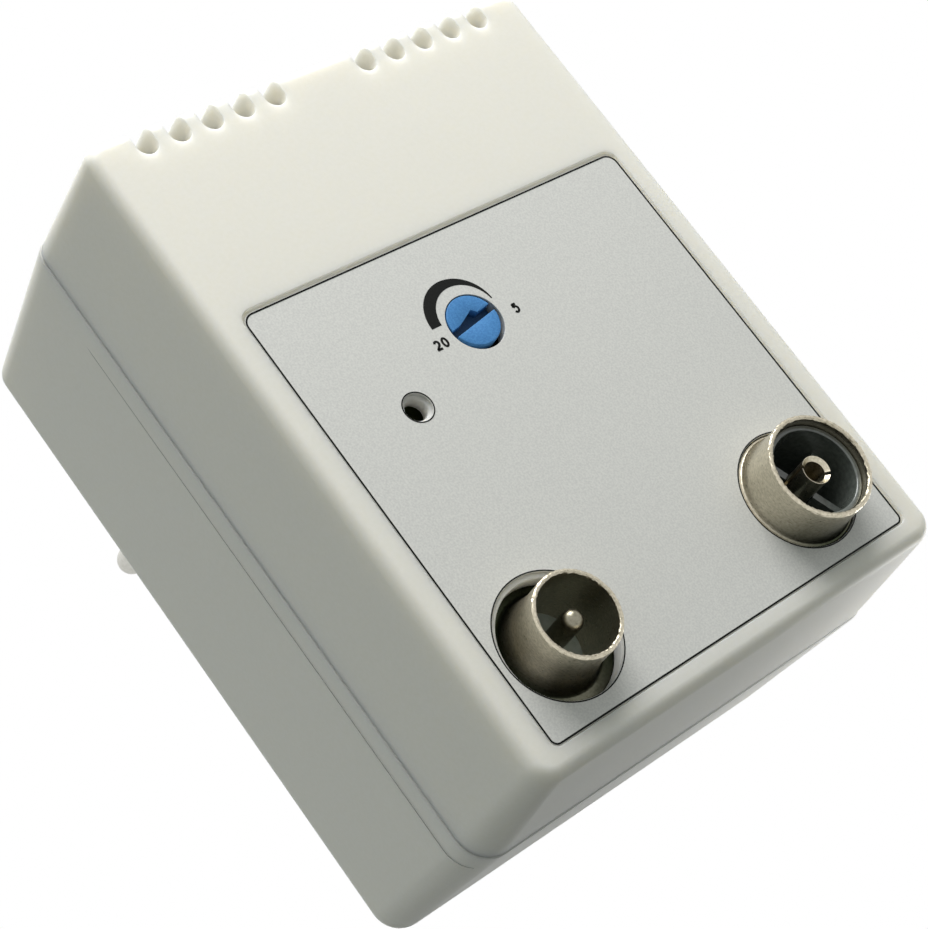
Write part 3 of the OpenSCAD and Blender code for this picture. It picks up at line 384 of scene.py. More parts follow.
def ring_plate(outer, inner, y0, y1):
    """A flat ring between two outlines of equal length."""
    bm = bmesh.new()
    loops = [[bm.verts.new((x, y, z)) for x, z in line] for line, y in
             ((outer, y0), (outer, y1), (inner, y1), (inner, y0))]
    for low, high in zip(loops, loops[1:] + loops[:1]):
        for k in range(len(low)):
            j = (k + 1) % len(low)
            bm.faces.new((low[k], low[j], high[j], high[k]))
    bmesh.ops.recalc_face_normals(bm, faces=bm.faces)
    return bm


def strip_plate(left, right, y0, y1):
    """A flat strip between two lines of equal length."""
    return loft([[(a[0], y0, a[1]), (b[0], y0, b[1]), (b[0], y1, b[1]), (a[0], y1, a[1])]
                 for a, b in zip(left, right)])


def box_line(length_x, length_z):
    """A rectangle's outline round the origin, as (x, z) points."""
    x, z = length_x / 2, length_z / 2
    return [(-x, -z), (x, -z), (x, z), (-x, z)]


def turned_line(line, turn, x, z):
    """An outline round the origin, turned by an angle and moved to a place."""
    return [(x + px * math.cos(turn) - pz * math.sin(turn), z + px * math.sin(turn) + pz * math.cos(turn))
            for px, pz in line]


def lathe(profile, x, z, steps=96):
    """A solid turned round an axis along Y, from a closed outline of (radius, y) points."""
    bm = bmesh.new()
    rings = []
    for radius, y in profile:
        if radius < 1e-7:
            rings.append([bm.verts.new((x, y, z))] * steps)
            continue
        turns = [2 * math.pi * k / steps for k in range(steps)]
        rings.append([bm.verts.new((x + radius * math.cos(t), y, z + radius * math.sin(t))) for t in turns])
    for low, high in zip(rings, rings[1:] + rings[:1]):
        for k in range(steps):
            j = (k + 1) % steps
            corners = list(dict.fromkeys((low[k], low[j], high[j], high[k])))
            if len(corners) > 2:
                bm.faces.new(corners)
    bmesh.ops.recalc_face_normals(bm, faces=bm.faces)
    return bm


def dome(radius, tip, steps=12):
    """The (radius, y) points of a half ball that ends at a tip on the -Y side."""
    turns = [math.pi / 2 * k / steps for k in range(steps + 1)]
    return [(radius * math.sin(t), tip + radius * (1 - math.cos(t))) for t in turns]


def as_object(name, *solids):
    """One object from one or more bmesh solids."""
    mesh = bpy.data.meshes.new(name)
    joined = bmesh.new()
    for solid in solids:
        part = bpy.data.meshes.new("part")
        solid.to_mesh(part)
        solid.free()
        joined.from_mesh(part)
        bpy.data.meshes.remove(part)
    joined.to_mesh(mesh)
    joined.free()
    obj = bpy.data.objects.new(name, mesh)
    bpy.context.scene.collection.objects.link(obj)
    return obj


def bake(obj):
    """Turns the object's modifiers into its mesh."""
    graph = bpy.context.evaluated_depsgraph_get()
    mesh = bpy.data.meshes.new_from_object(obj.evaluated_get(graph))
    obj.modifiers.clear()
    obj.data = mesh
    return obj


def carve(obj, *tools, operation="DIFFERENCE"):
    """Cuts tools out of an object, or joins them to it, and removes them."""
    for tool in tools:
        modifier = obj.modifiers.new("carve", "BOOLEAN")
        modifier.operation = operation
        modifier.solver = "EXACT"
        modifier.object = tool
    bake(obj)
    for tool in tools:
        bpy.data.objects.remove(tool)
    if not obj.data.polygons:
        raise RuntimeError(f"{obj.name} is empty after carving")
    return obj


def soften(obj, width, segments=2, limit=35):
    """Rounds the sharp edges of an object."""
    modifier = obj.modifiers.new("soften", "BEVEL")
    modifier.limit_method = "ANGLE"
    modifier.angle_limit = math.radians(limit)
    modifier.width = width
    modifier.segments = segments
    modifier.use_clamp_overlap = False
    modifier.miter_outer = "MITER_ARC"
    return bake(obj)


def finished(obj, material, body, slot, *nodes, sharp=40):
    """Shades a piece, gives it its material, ties it to its body and hides the CAD nodes it stands for."""
    obj.data.materials.clear()
    obj.data.materials.append(material)
    obj.data.polygons.foreach_set("use_smooth", [True] * len(obj.data.polygons))
    obj.data.set_sharp_from_angle(angle=math.radians(sharp))
    modifier = obj.modifiers.new("normals", "WEIGHTED_NORMAL")
    modifier.keep_sharp = True
    bake(obj)
    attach(obj, body)
    if nodes:
        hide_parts(*nodes)
    return obj


def axis_of(node):
    """The middle of a CAD node in X and Z."""
    low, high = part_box(node)
    return (low.x + high.x) / 2, (low.z + high.z) / 2


# Materials


def surface(name, first, second, grain, rough, metallic=0.0, bump=0.0, stretch=(1.0, 1.0, 1.0), coat=0.0,
            spread=0.08, gleam=0.5):
    """A two-tone grained surface. The grain is in metres, and the bump is its height."""
    own_name = "amplifier_" + name
    material = bpy.data.materials.get(own_name)
    if material:
        return material
    material = bpy.data.materials.new(own_name)
    material.use_nodes = True
    nodes, links = material.node_tree.nodes, material.node_tree.links
    shader = nodes["Principled BSDF"]
    shader.inputs["Metallic"].default_value = metallic
    shader.inputs["Coat Weight"].default_value = coat
    shader.inputs["Specular IOR Level"].default_value = gleam
    where = nodes.new("ShaderNodeTexCoord")
    mapping = nodes.new("ShaderNodeMapping")
    mapping.inputs["Scale"].default_value = stretch
    links.new(where.outputs["Object"], mapping.inputs["Vector"])
    noise = nodes.new("ShaderNodeTexNoise")
    noise.inputs["Scale"].default_value = 1 / grain
    noise.inputs["Detail"].default_value = 3.0
    links.new(mapping.outputs["Vector"], noise.inputs["Vector"])
    ramp = nodes.new("ShaderNodeValToRGB")
    ramp.name = "Tones"
    ramp.color_ramp.elements[0].position = 0.35
    ramp.color_ramp.elements[0].color = (*second, 1.0)
    ramp.color_ramp.elements[1].position = 0.65
    ramp.color_ramp.elements[1].color = (*first, 1.0)
    links.new(noise.outputs["Fac"], ramp.inputs["Fac"])
    links.new(ramp.outputs["Color"], shader.inputs["Base Color"])
    gloss = nodes.new("ShaderNodeMapRange")
    gloss.inputs["To Min"].default_value = max(rough - spread, 0.02)
    gloss.inputs["To Max"].default_value = rough + spread
    links.new(noise.outputs["Fac"], gloss.inputs["Value"])
    links.new(gloss.outputs["Result"], shader.inputs["Roughness"])
    if bump:
        height = nodes.new("ShaderNodeBump")
        height.inputs["Distance"].default_value = bump
        links.new(noise.outputs["Fac"], height.inputs["Height"])
        links.new(height.outputs["Normal"], shader.inputs["Normal"])
    return material


def cream_plastic():
    """Satin moulded plastic that lets a little light through, with shade painted into its witness groove."""
    look = bpy.context.scene.amp_cover
    material = surface("cream_plastic", look.cream, look.cream_dim, 0.5 * MM, 0.48, bump=0.006 * MM, gleam=0.25)
    shader = material.node_tree.nodes["Principled BSDF"]
    shader.inputs["Subsurface Weight"].default_value = 1.0
    shader.inputs["Subsurface Radius"].default_value = (1.0, 0.97, 0.88)
    shader.inputs["Subsurface Scale"].default_value = look.glow
    return paint_stored_shade(material, look.witness_shade)


def nickel():
    """Satin plating with fine turning marks, with painted shade where its piece stores it."""
    look = bpy.context.scene.amp_connector
    material = surface("nickel", look.nickel, look.nickel_dim, 0.35 * MM, 0.3, metallic=1.0, bump=0.006 * MM,
                       stretch=(1.0, 2.0, 1.0), spread=0.08)
    return paint_stored_shade(material, look.shade_tint)


def paint_stored_shade(material, tint):
    """Paints shade into a surface where its piece stores it: on the sunk and lower plating, and in the covers' witness
    groove.
    """
    nodes = material.node_tree.nodes
    if nodes.get("Tarnish"):
        return material
    mark = nodes.new("ShaderNodeAttribute")
    mark.name = "Tarnish"
    mark.attribute_name = PAINTED_SHADE
    return paint_shade(material, mark.outputs["Fac"], 0.0, 1.0, tint)


def paint_shade(material, value, start, end, tint):
    """Paints shade into a surface, from its full colour where a value is at its start to a tinted share of it at its
    end.
    """
    nodes, links = material.node_tree.nodes, material.node_tree.links
    amount = nodes.new("ShaderNodeMapRange")
    amount.inputs["From Min"].default_value, amount.inputs["From Max"].default_value = start, end
    links.new(value, amount.inputs["Value"])
    change, share, shown = (nodes.new("ShaderNodeVectorMath") for _ in range(3))
    change.operation, share.operation, shown.operation = "SCALE", "ADD", "MULTIPLY"
    change.inputs[0].default_value = [part - 1 for part in tint]
    share.inputs[1].default_value = (1.0, 1.0, 1.0)
    links.new(amount.outputs["Result"], change.inputs["Scale"])
    links.new(change.outputs["Vector"], share.inputs[0])
    links.new(share.outputs["Vector"], shown.inputs[0])
    links.new(nodes["Tones"].outputs["Color"], shown.inputs[1])
    links.new(shown.outputs["Vector"], nodes["Principled BSDF"].inputs["Base Color"])
    return material


def depth_of(material):
    """A socket with a surface's place along Y."""
    nodes, links = material.node_tree.nodes, material.node_tree.links
    where = nodes.new("ShaderNodeTexCoord")
    split = nodes.new("ShaderNodeSeparateXYZ")
    links.new(where.outputs["Object"], split.inputs["Vector"])
    return split.outputs["Y"]


def painted_dark(obj, rule, faces=False):
    """Stores how much shade is painted on each point or face of a piece, from 0 to 1, for its material to read."""
    layer = obj.data.attributes.new(PAINTED_SHADE, "FLOAT", "FACE" if faces else "POINT")
    places = [face.center for face in obj.data.polygons] if faces else [vertex.co for vertex in obj.data.vertices]
    layer.data.foreach_set("value", [min(max(rule(place), 0.0), 1.0) for place in places])
    return obj


def bright_pin():
    """Plating of the mains pins, polished by use."""
    look = bpy.context.scene.amp_connector
    return surface("pin_plating", look.pin, look.pin_dim, 0.5 * MM, 0.35, metallic=0.6, bump=0.004 * MM, spread=0.06)


def black_plastic():
    """Dull black moulding."""
    return surface("black_plastic", (0.012, 0.012, 0.012), (0.008, 0.009, 0.008), 0.4 * MM, 0.35, bump=0.004 * MM)


# Repeated pieces


def repeat_tree():
    """A node tree that puts one object on every point, turned by chance, as one mesh with a material."""
    tree = bpy.data.node_groups.get("Repeat on points")
    if tree:
        return tree
    tree = bpy.data.node_groups.new("Repeat on points", "GeometryNodeTree")
    face = tree.interface
    face.new_socket("Geometry", in_out="INPUT", socket_type="NodeSocketGeometry")
    face.new_socket("Piece", in_out="INPUT", socket_type="NodeSocketObject")
    face.new_socket("Most turn", in_out="INPUT", socket_type="NodeSocketFloat")
    face.new_socket("Seed", in_out="INPUT", socket_type="NodeSocketInt")
    face.new_socket("Material", in_out="INPUT", socket_type="NodeSocketMaterial")
    face.new_socket("Geometry", in_out="OUTPUT", socket_type="NodeSocketGeometry")
    nodes, links = tree.nodes, tree.links
    start, end = nodes.new("NodeGroupInput"), nodes.new("NodeGroupOutput")
    info = nodes.new("GeometryNodeObjectInfo")
    chance = nodes.new("FunctionNodeRandomValue")
    chance.data_type = "FLOAT"
    turn = nodes.new("ShaderNodeCombineXYZ")
    put = nodes.new("GeometryNodeInstanceOnPoints")
    real = nodes.new("GeometryNodeRealizeInstances")
    paint = nodes.new("GeometryNodeSetMaterial")
    links.new(start.outputs["Geometry"], put.inputs["Points"])
    links.new(start.outputs["Piece"], info.inputs["Object"])
    links.new(info.outputs["Geometry"], put.inputs["Instance"])
    links.new(start.outputs["Most turn"], chance.inputs[3])
    links.new(start.outputs["Seed"], chance.inputs["Seed"])
    links.new(chance.outputs[1], turn.inputs["Y"])
    links.new(turn.outputs["Vector"], put.inputs["Rotation"])
    links.new(put.outputs["Instances"], real.inputs["Geometry"])
    links.new(real.outputs["Geometry"], paint.inputs["Geometry"])
    links.new(start.outputs["Material"], paint.inputs["Material"])
    links.new(paint.outputs["Geometry"], end.inputs["Geometry"])
    return tree


def repeated(name, piece, points, material, most_turn=0.0, seed=1):
    """One mesh object with a copy of a piece on every point. The piece itself is removed."""
    mesh = bpy.data.meshes.new(name)
    mesh.from_pydata(points, [], [])
    obj = bpy.data.objects.new(name, mesh)
    bpy.context.scene.collection.objects.link(obj)
    modifier = obj.modifiers.new("repeat", "NODES")
    modifier.node_group = repeat_tree()
    values = {"Piece": piece, "Most turn": most_turn, "Seed": seed, "Material": material}
    for item in modifier.node_group.interface.items_tree:
        if item.in_out == "INPUT" and item.name in values:
            modifier[item.identifier] = values[item.name]
    bake(obj)
    bpy.data.objects.remove(piece)
    return obj


# Covers


def at_depth(outline, y):
    """An outline's points at one depth."""
    return [(x, y, z) for x, z in outline]


def case_loop(grow, y):
    """The case's outline at a depth: the front face's outline grown by a distance, and further at the bottom."""
    look = bpy.context.scene.amp_cover
    low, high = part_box("front_cover")
    lean = (high.y - low.y) * math.tan(look.draft)
    bottom_lean = (high.y - low.y) * math.tan(look.bottom_draft)
    drop = (min(y, high.y) - low.y) * (math.tan(look.bottom_draft) - math.tan(look.draft))
    drop -= max(y - high.y, 0) * (math.tan(look.rear_bottom_draft) - math.tan(look.rear_draft))
    top_r = max(look.top_corner + grow, look.least_corner)
    bottom_r = max(look.bottom_corner + grow, look.least_corner)
    half_w = high.x - lean + grow
    return at_depth(rounded(half_w, low.z + bottom_lean - grow - drop, high.z - lean + grow, bottom_r, top_r), y)


def sunk_sides(full, sunk, share):
    """The (x, z) points of a loop that is sunk at the foot of its two sides and comes out towards their top."""
    wide = max(point[0] for point in full) * share
    middle = (min(point[2] for point in full) + max(point[2] for point in full)) / 2
    return [(b[0], b[2]) if abs(a[0]) > wide and a[2] < middle else (a[0], a[2]) for a, b in zip(full, sunk)]


def edge_steps(radius, steps):
    """(depth, inset) pairs round an edge, from the face to the side."""
    turns = [math.pi / 2 * k / steps for k in range(steps + 1)]
    return [(radius * (1 - math.cos(t)), radius * (1 - math.sin(t))) for t in turns]


def front_block(inset, end):
    """The front cover's outer form, or with an inset the space inside it."""
    look = bpy.context.scene.amp_cover
    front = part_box("front_cover")[0].y
    radius = max(look.front_round - inset, look.least_corner)
    loops = []
    for depth, cut in edge_steps(radius, 10):
        depth += inset
        loops.append(case_loop(depth * math.tan(look.draft) - inset - cut, front + depth))
    grow = (end - front) * math.tan(look.draft) - inset
    if inset == 0:
        for depth, cut in reversed(edge_steps(look.seam_round, 3)):
            loops.append(case_loop(grow - cut, end - depth))
    else:
        loops.append(case_loop(grow, end))
    return loft(loops)


def label_outline(grow):
    """The label's outline, grown by a distance."""
    look = bpy.context.scene.amp_panel
    low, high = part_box("front_label")
    return rounded(high.x + grow, low.z - grow, high.z + grow, look.low_corner + grow, look.corner + grow)


def recess_outline():
    """The outline of the label's recess, which has room above the label and to its right."""
    look = bpy.context.scene.amp_panel
    low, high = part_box("front_label")
    half_w, shift = high.x + (look.gap + look.right_gap) / 2, (look.right_gap - look.gap) / 2
    line = rounded(half_w, low.z - look.gap, high.z + look.top_gap, look.low_corner, look.corner)
    return [(x + shift, z) for x, z in line]


def circle(x, z, radius):
    """A closed round outline as (x, z) points."""
    return arc(x, z, radius, 0, 360 - 360 / CIRCLE_STEPS, CIRCLE_STEPS - 1)


def panel_holes(lamp_r, in_cover=False):
    """(x, z, radius) of the openings in the label or the cover, for a radius of the lamp's opening."""
    look = bpy.context.scene.amp_panel
    gain_x, gain_z = axis_of("trimmer_rotor")
    plug_x, plug_z = axis_of("tv_plug_shell")
    return [
        (plug_x + look.ledge_x, plug_z + look.ledge_z, look.hole - look.ledge) if in_cover
        else (plug_x, plug_z, look.hole),
        (*axis_of("in_socket_shell"), look.hole),
        (gain_x, gain_z - look.gain_drop, look.gain_hole),
        (*axis_of("indicator_led"), lamp_r),
    ]


def hole_tools(lamp_r, y0, y1, in_cover=False):
    """Round cutters for the openings in the label or the cover."""
    return [as_object("hole", prism(circle(*hole), y0, y1)) for hole in panel_holes(lamp_r, in_cover)]


class AMP_OT_front_cover(bpy.types.Operator):
    """Builds the front cover with its recess, openings and vent slots"""

    bl_idname = "amplifier.front_cover"
    bl_label = "Front Cover"

    def execute(self, context):
        look, panel = context.scene.amp_cover, context.scene.amp_panel
        low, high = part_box("front_cover")
        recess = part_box("front_label")[1].y
        cover = as_object("front_cover_look", front_block(0, high.y))
        hollow = as_object("hollow", front_block(look.wall, high.y + MM))
        pocket = as_object("pocket", prism(recess_outline(), low.y - MM, recess))
        lamp = axis_of("indicator_led")
        funnel = as_object("funnel", loft([
            at_depth(circle(*lamp, panel.lamp_hole), recess - panel.gap),
            at_depth(circle(*lamp, panel.lamp_hole), recess),
            at_depth(circle(*lamp, panel.lamp_bore), recess + panel.lamp_funnel),
        ]))
        radius = look.vent_w / 2
        lean = (high.y - low.y) * math.tan(look.draft)
        bottom = high.z - lean - look.vent_drop + radius
        above = high.z + MM
        slot_line = arc(0, bottom, radius, 180, 360, 12) + [(radius, above), (-radius, above)]
        slot = as_object("slot", prism(slot_line, low.y - MM, low.y + look.vent_run))
        steps = [look.vent_first + k * look.vent_pitch for k in range(look.vent_count)]
        vents = repeated("vents", slot, [(side * x, 0, 0) for side in (-1, 1) for x in steps], cream_plastic())
        carve(cover, hollow)
        carve(cover, pocket, *hole_tools(panel.lamp_bore, low.y - MM, low.y + 2 * look.wall, True), vents)
        carve(cover, funnel)
        soften(cover, look.edge_break)
        finished(cover, cream_plastic(), CASE, "cream_plastic", "front_cover")
        return {"FINISHED"}


def boss_outline(grow):
    """The plug boss's eight-sided outline, grown by a distance."""
    look = bpy.context.scene.amp_cover
    x_end, x_flat = look.boss_w / 2 + grow, look.boss_flat_w / 2 + grow / 2
    z_flat, z_end = look.boss_h / 2 + grow, look.boss_flat_h / 2 + grow / 2
    corners = [(x_end, -z_end), (x_end, z_end), (x_flat, z_flat), (-x_flat, z_flat),
               (-x_end, z_end), (-x_end, -z_end), (-x_flat, -z_flat), (x_flat, -z_flat)]
    return fillet(corners, [max(look.boss_round + grow / 3, look.least_corner)] * len(corners))


class AMP_OT_rear_cover(bpy.types.Operator):
    """Builds the rear cover with its plug boss and screw holes"""

    bl_idname = "amplifier.rear_cover"
    bl_label = "Rear Cover"

    def execute(self, context):
        look = context.scene.amp_cover
        front_low, front_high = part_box("front_cover")
        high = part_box("rear_cover")[1]
        seam = front_high.y
        back = high.y - look.boss_length - look.shoulder_depth
        lean = (front_high.y - front_low.y) * math.tan(look.draft)
        step = high.x - front_high.x

        def grown(y, inset):
            """The outline at a depth, less an inset."""
            return case_loop(lean + step - (y - seam) * math.tan(look.rear_draft) - inset, y)

        body = [grown(seam + depth, inset) for depth, inset in edge_steps(look.seam_round, 3)]
        body += [grown(back - depth, inset) for depth, inset in reversed(edge_steps(look.back_round, 10))]
        cover = as_object("rear_cover_look", loft(body))
        inner_round = max(look.back_round - look.wall, look.least_corner)
        space = [grown(seam - MM, look.wall)]
        for depth, inset in reversed(edge_steps(inner_round, 4)):
            space.append(grown(back - look.wall - depth, look.wall + inset))
        hollow = as_object("hollow", loft(space))
        neck = [at_depth(boss_outline(look.shoulder_spread), back - look.wall / 2),
                at_depth(boss_outline(look.shoulder_spread), back),
                at_depth(boss_outline(0), back + look.shoulder_depth)]
        for depth, inset in reversed(edge_steps(look.least_corner, 4)):
            neck.append(at_depth(boss_outline(-inset), high.y - depth))
        boss = as_object("boss", loft(neck))
        carve(cover, hollow)
        tools, holes = [boss], []
        bore = look.screw_shank + look.screw_hole - look.screw_head
        for x, y, z in screw_heads("case_screws"):
            column = prism(circle(x, z, look.screw_column), seam + look.seam_round, back - look.wall / 2)
            tools.append(as_object("column", column))
            holes.append(as_object("bore", prism(circle(x, z, bore), seam - MM, y + MM)))
            holes.append(as_object("hole", prism(circle(x, z, look.screw_hole), y, high.y)))
        carve(cover, *tools, operation="UNION")
        carve(cover, *holes)
        soften(cover, look.edge_break)
        mark, half = seam + look.witness_back, look.witness_w / 2
        clear = [(x, z) for x, _, z in grown(mark, -MM)]
        floor = sunk_sides(grown(mark, -look.witness_rise), grown(mark, look.witness_depth), look.witness_share)
        carve(cover, as_object("witness", ring_plate(clear, floor, mark - half, mark + half)))
        # Shade painted into the witness groove
        painted_dark(cover, lambda point: abs(point.y - mark) < look.witness_w, faces=True)
        finished(cover, cream_plastic(), CASE, "cream_plastic", "rear_cover")
        return {"FINISHED"}


def screw_heads(node):
    """The middle of each screw head's seat in a CAD node of four screws."""
    look = bpy.context.scene.amp_cover
    low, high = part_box(node)
    xs = (low.x + look.screw_head, high.x - look.screw_head)
    zs = (low.z + look.screw_head, high.z - look.screw_head)
    return [(x, high.y - look.screw_tall, z) for x in xs for z in zs]


# Panel


class AMP_OT_label(bpy.types.Operator):
    """Builds the printed label with its edge line and the gain dial"""

    bl_idname = "amplifier.label"
    bl_label = "Label"

    def execute(self, context):
        look = context.scene.amp_panel
        low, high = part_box("front_label")
        label = as_object("front_label_look", prism(label_outline(0), low.y, high.y))
        carve(label, *hole_tools(look.lamp_hole, low.y - MM, high.y + MM))
        soften(label, look.label_break)
        finished(label, silver_foil(), CASE, "label_foil", "front_label")
        faint = [value * 0.6 for value in look.black]
        ink = surface("ink", look.black, faint, 0.2 * MM, 0.6, bump=0.002 * MM, gleam=0.1)
        y0, y1 = low.y - look.ink, low.y + look.ink / 2
        outer = label_outline(-look.line_inset)
        inner = label_outline(-look.line_inset - look.line_w)
        marks = [ring_plate(outer, inner, y0, y1), *dial_marks(y0, y1)]
        # A dark line round each opening but the gain control's, in the ink's colour
        for x, z, radius in panel_holes(look.lamp_hole):
            start = radius + look.hole_edge
            if radius != look.gain_hole:
                marks.append(ring_plate(circle(x, z, start + look.hole_line), circle(x, z, start), y0, y1))
        finished(as_object("panel_print", *marks), ink, CASE, "label_foil")
        return {"FINISHED"}


def silver_foil():
    """Printed silver-grey foil with a fine mottle."""
    look = bpy.context.scene.amp_panel
    return surface("silver_foil", look.silver, look.silver_dim, 0.22 * MM, 0.5, metallic=0.1, bump=0.004 * MM,
                   gleam=0.2)


def dial_marks(y0, y1):
    """The dial's tapering arc round the gain control and its two plain numbers."""
    look = bpy.context.scene.amp_panel
    low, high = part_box("front_label")
    middle = (low.z + high.z) / 2
    outer, inner = (arc(x, middle + z, radius, start, end, DIAL_STEPS)
                    for x, z, radius, start, end in (DIAL_OUTSIDE, DIAL_INSIDE))
    marks = [strip_plate(outer, inner, y0, y1)]
    step = look.digit_w + look.digit_gap
    for text, (x, z) in DIAL_NUMBERS.items():
        first = x - step * (len(text) - 1) / 2
        for k, digit in enumerate(text):
            for stroke in digit_strokes(digit):
                line = [(first + k * step + px * look.digit_w, middle + z + pz * look.digit_h) for px, pz in stroke]
                marks.append(stroke_plate(line, look.stroke, y0, y1))
    return marks


def digit_strokes(digit):
    """A digit's centre lines in a box from -0.5 to 0.5 in both directions."""
    if digit == "0":
        return [[(0.36 * x, 0.39 * z) for x, z in arc(0, 0, 1, 0, 360, 32)]]
    if digit == "2":
        bowl = [(0.33 * x, 0.14 + 0.25 * z) for x, z in arc(0, 0, 1, 160, -35, 16)]
        return [bowl + [(-0.36, -0.36)], [(-0.48, -0.39), (0.4, -0.39)]]
    bowl = [(-0.02 + 0.37 * x, -0.11 + 0.28 * z) for x, z in arc(0, 0, 1, 140, -150, 20)]
    return [bowl, [(-0.3, 0.1), (-0.2, 0.44)], [(-0.24, 0.39), (0.34, 0.39)]]


def stroke_plate(line, width, y0, y1):
    """A flat stroke of one width along a line."""
    left, right = [], []
    for k, point in enumerate(line):
        last, following = Vector(line[max(k - 1, 0)]), Vector(line[min(k + 1, len(line) - 1)])
        along = (following - last).normalized()
        side = Vector((-along.y, along.x)) * width / 2
        left.append(tuple(Vector(point) + side))
        right.append(tuple(Vector(point) - side))
    return strip_plate(left, right, y0, y1)


class AMP_OT_gain_control(bpy.types.Operator):
    """Builds the turning rotor with its slot and pointer notch"""

    bl_idname = "amplifier.gain_control"
    bl_label = "Gain Control"

    def execute(self, context):
        look = context.scene.amp_panel
        low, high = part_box("trimmer_rotor")
        x, z = axis_of("trimmer_rotor")
        head, journal = high.x - x, look.journal_r
        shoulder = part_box("trimmer_body")[0].y - look.rotor_gap
        profile = [(0, low.y), (head, low.y), (head, shoulder), (journal, shoulder), (journal, high.y), (0, high.y)]
        rotor = as_object("trimmer_rotor_look", lathe(fillet(profile, [0, look.rotor_round, 0, 0, 0, 0]), x, z, 72))
        half, floor = look.slot_w / 2, low.y + look.slot_depth
        overlap = half * 0.9
        notch_line = [(-look.notch_tail, overlap), (look.notch_point, overlap), (look.notch_peak, half + look.notch_h)]
        for line in (box_line(2 * (head + MM), look.slot_w), notch_line):
            turned = turned_line(line, look.slot_turn, x, z)
            carve(rotor, as_object("slot", prism(turned, low.y - MM, floor)))
        soften(rotor, look.rotor_break)
        blue = surface("blue_plastic", look.blue, look.blue_dim, 0.18 * MM, 0.5, bump=0.012 * MM, gleam=0.2)
        # Shade painted into the slot, darker with depth
        paint_shade(blue, depth_of(blue), low.y + look.slot_shade_start, floor, look.slot_shade)
        finished(rotor, blue, CONTROL, "blue_plastic", "trimmer_rotor")
        return {"FINISHED"}


class AMP_OT_lamp(bpy.types.Operator):
    """Builds the indicator lamp behind its opening"""

    bl_idname = "amplifier.lamp"
    bl_label = "Lamp"

    def execute(self, context):
        look = context.scene.amp_panel
        low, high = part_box("indicator_led")
        x, z = axis_of("indicator_led")
        ring, lens, base = high.x - x, look.lens_r, high.y - look.lens_base
        profile = dome(lens, low.y) + [(lens, base), (ring, base), (ring, high.y), (0, high.y)]
        lamp = as_object("indicator_led_look", lathe(profile, x, z, 48))
        tint = surface("lamp_lens", (0.55, 0.5, 0.36), (0.45, 0.41, 0.29), 0.8 * MM, 0.3, coat=0.3)
        finished(lamp, tint, CASE, "lamp_lens", "indicator_led")
        return {"FINISHED"}


# Connectors and plug


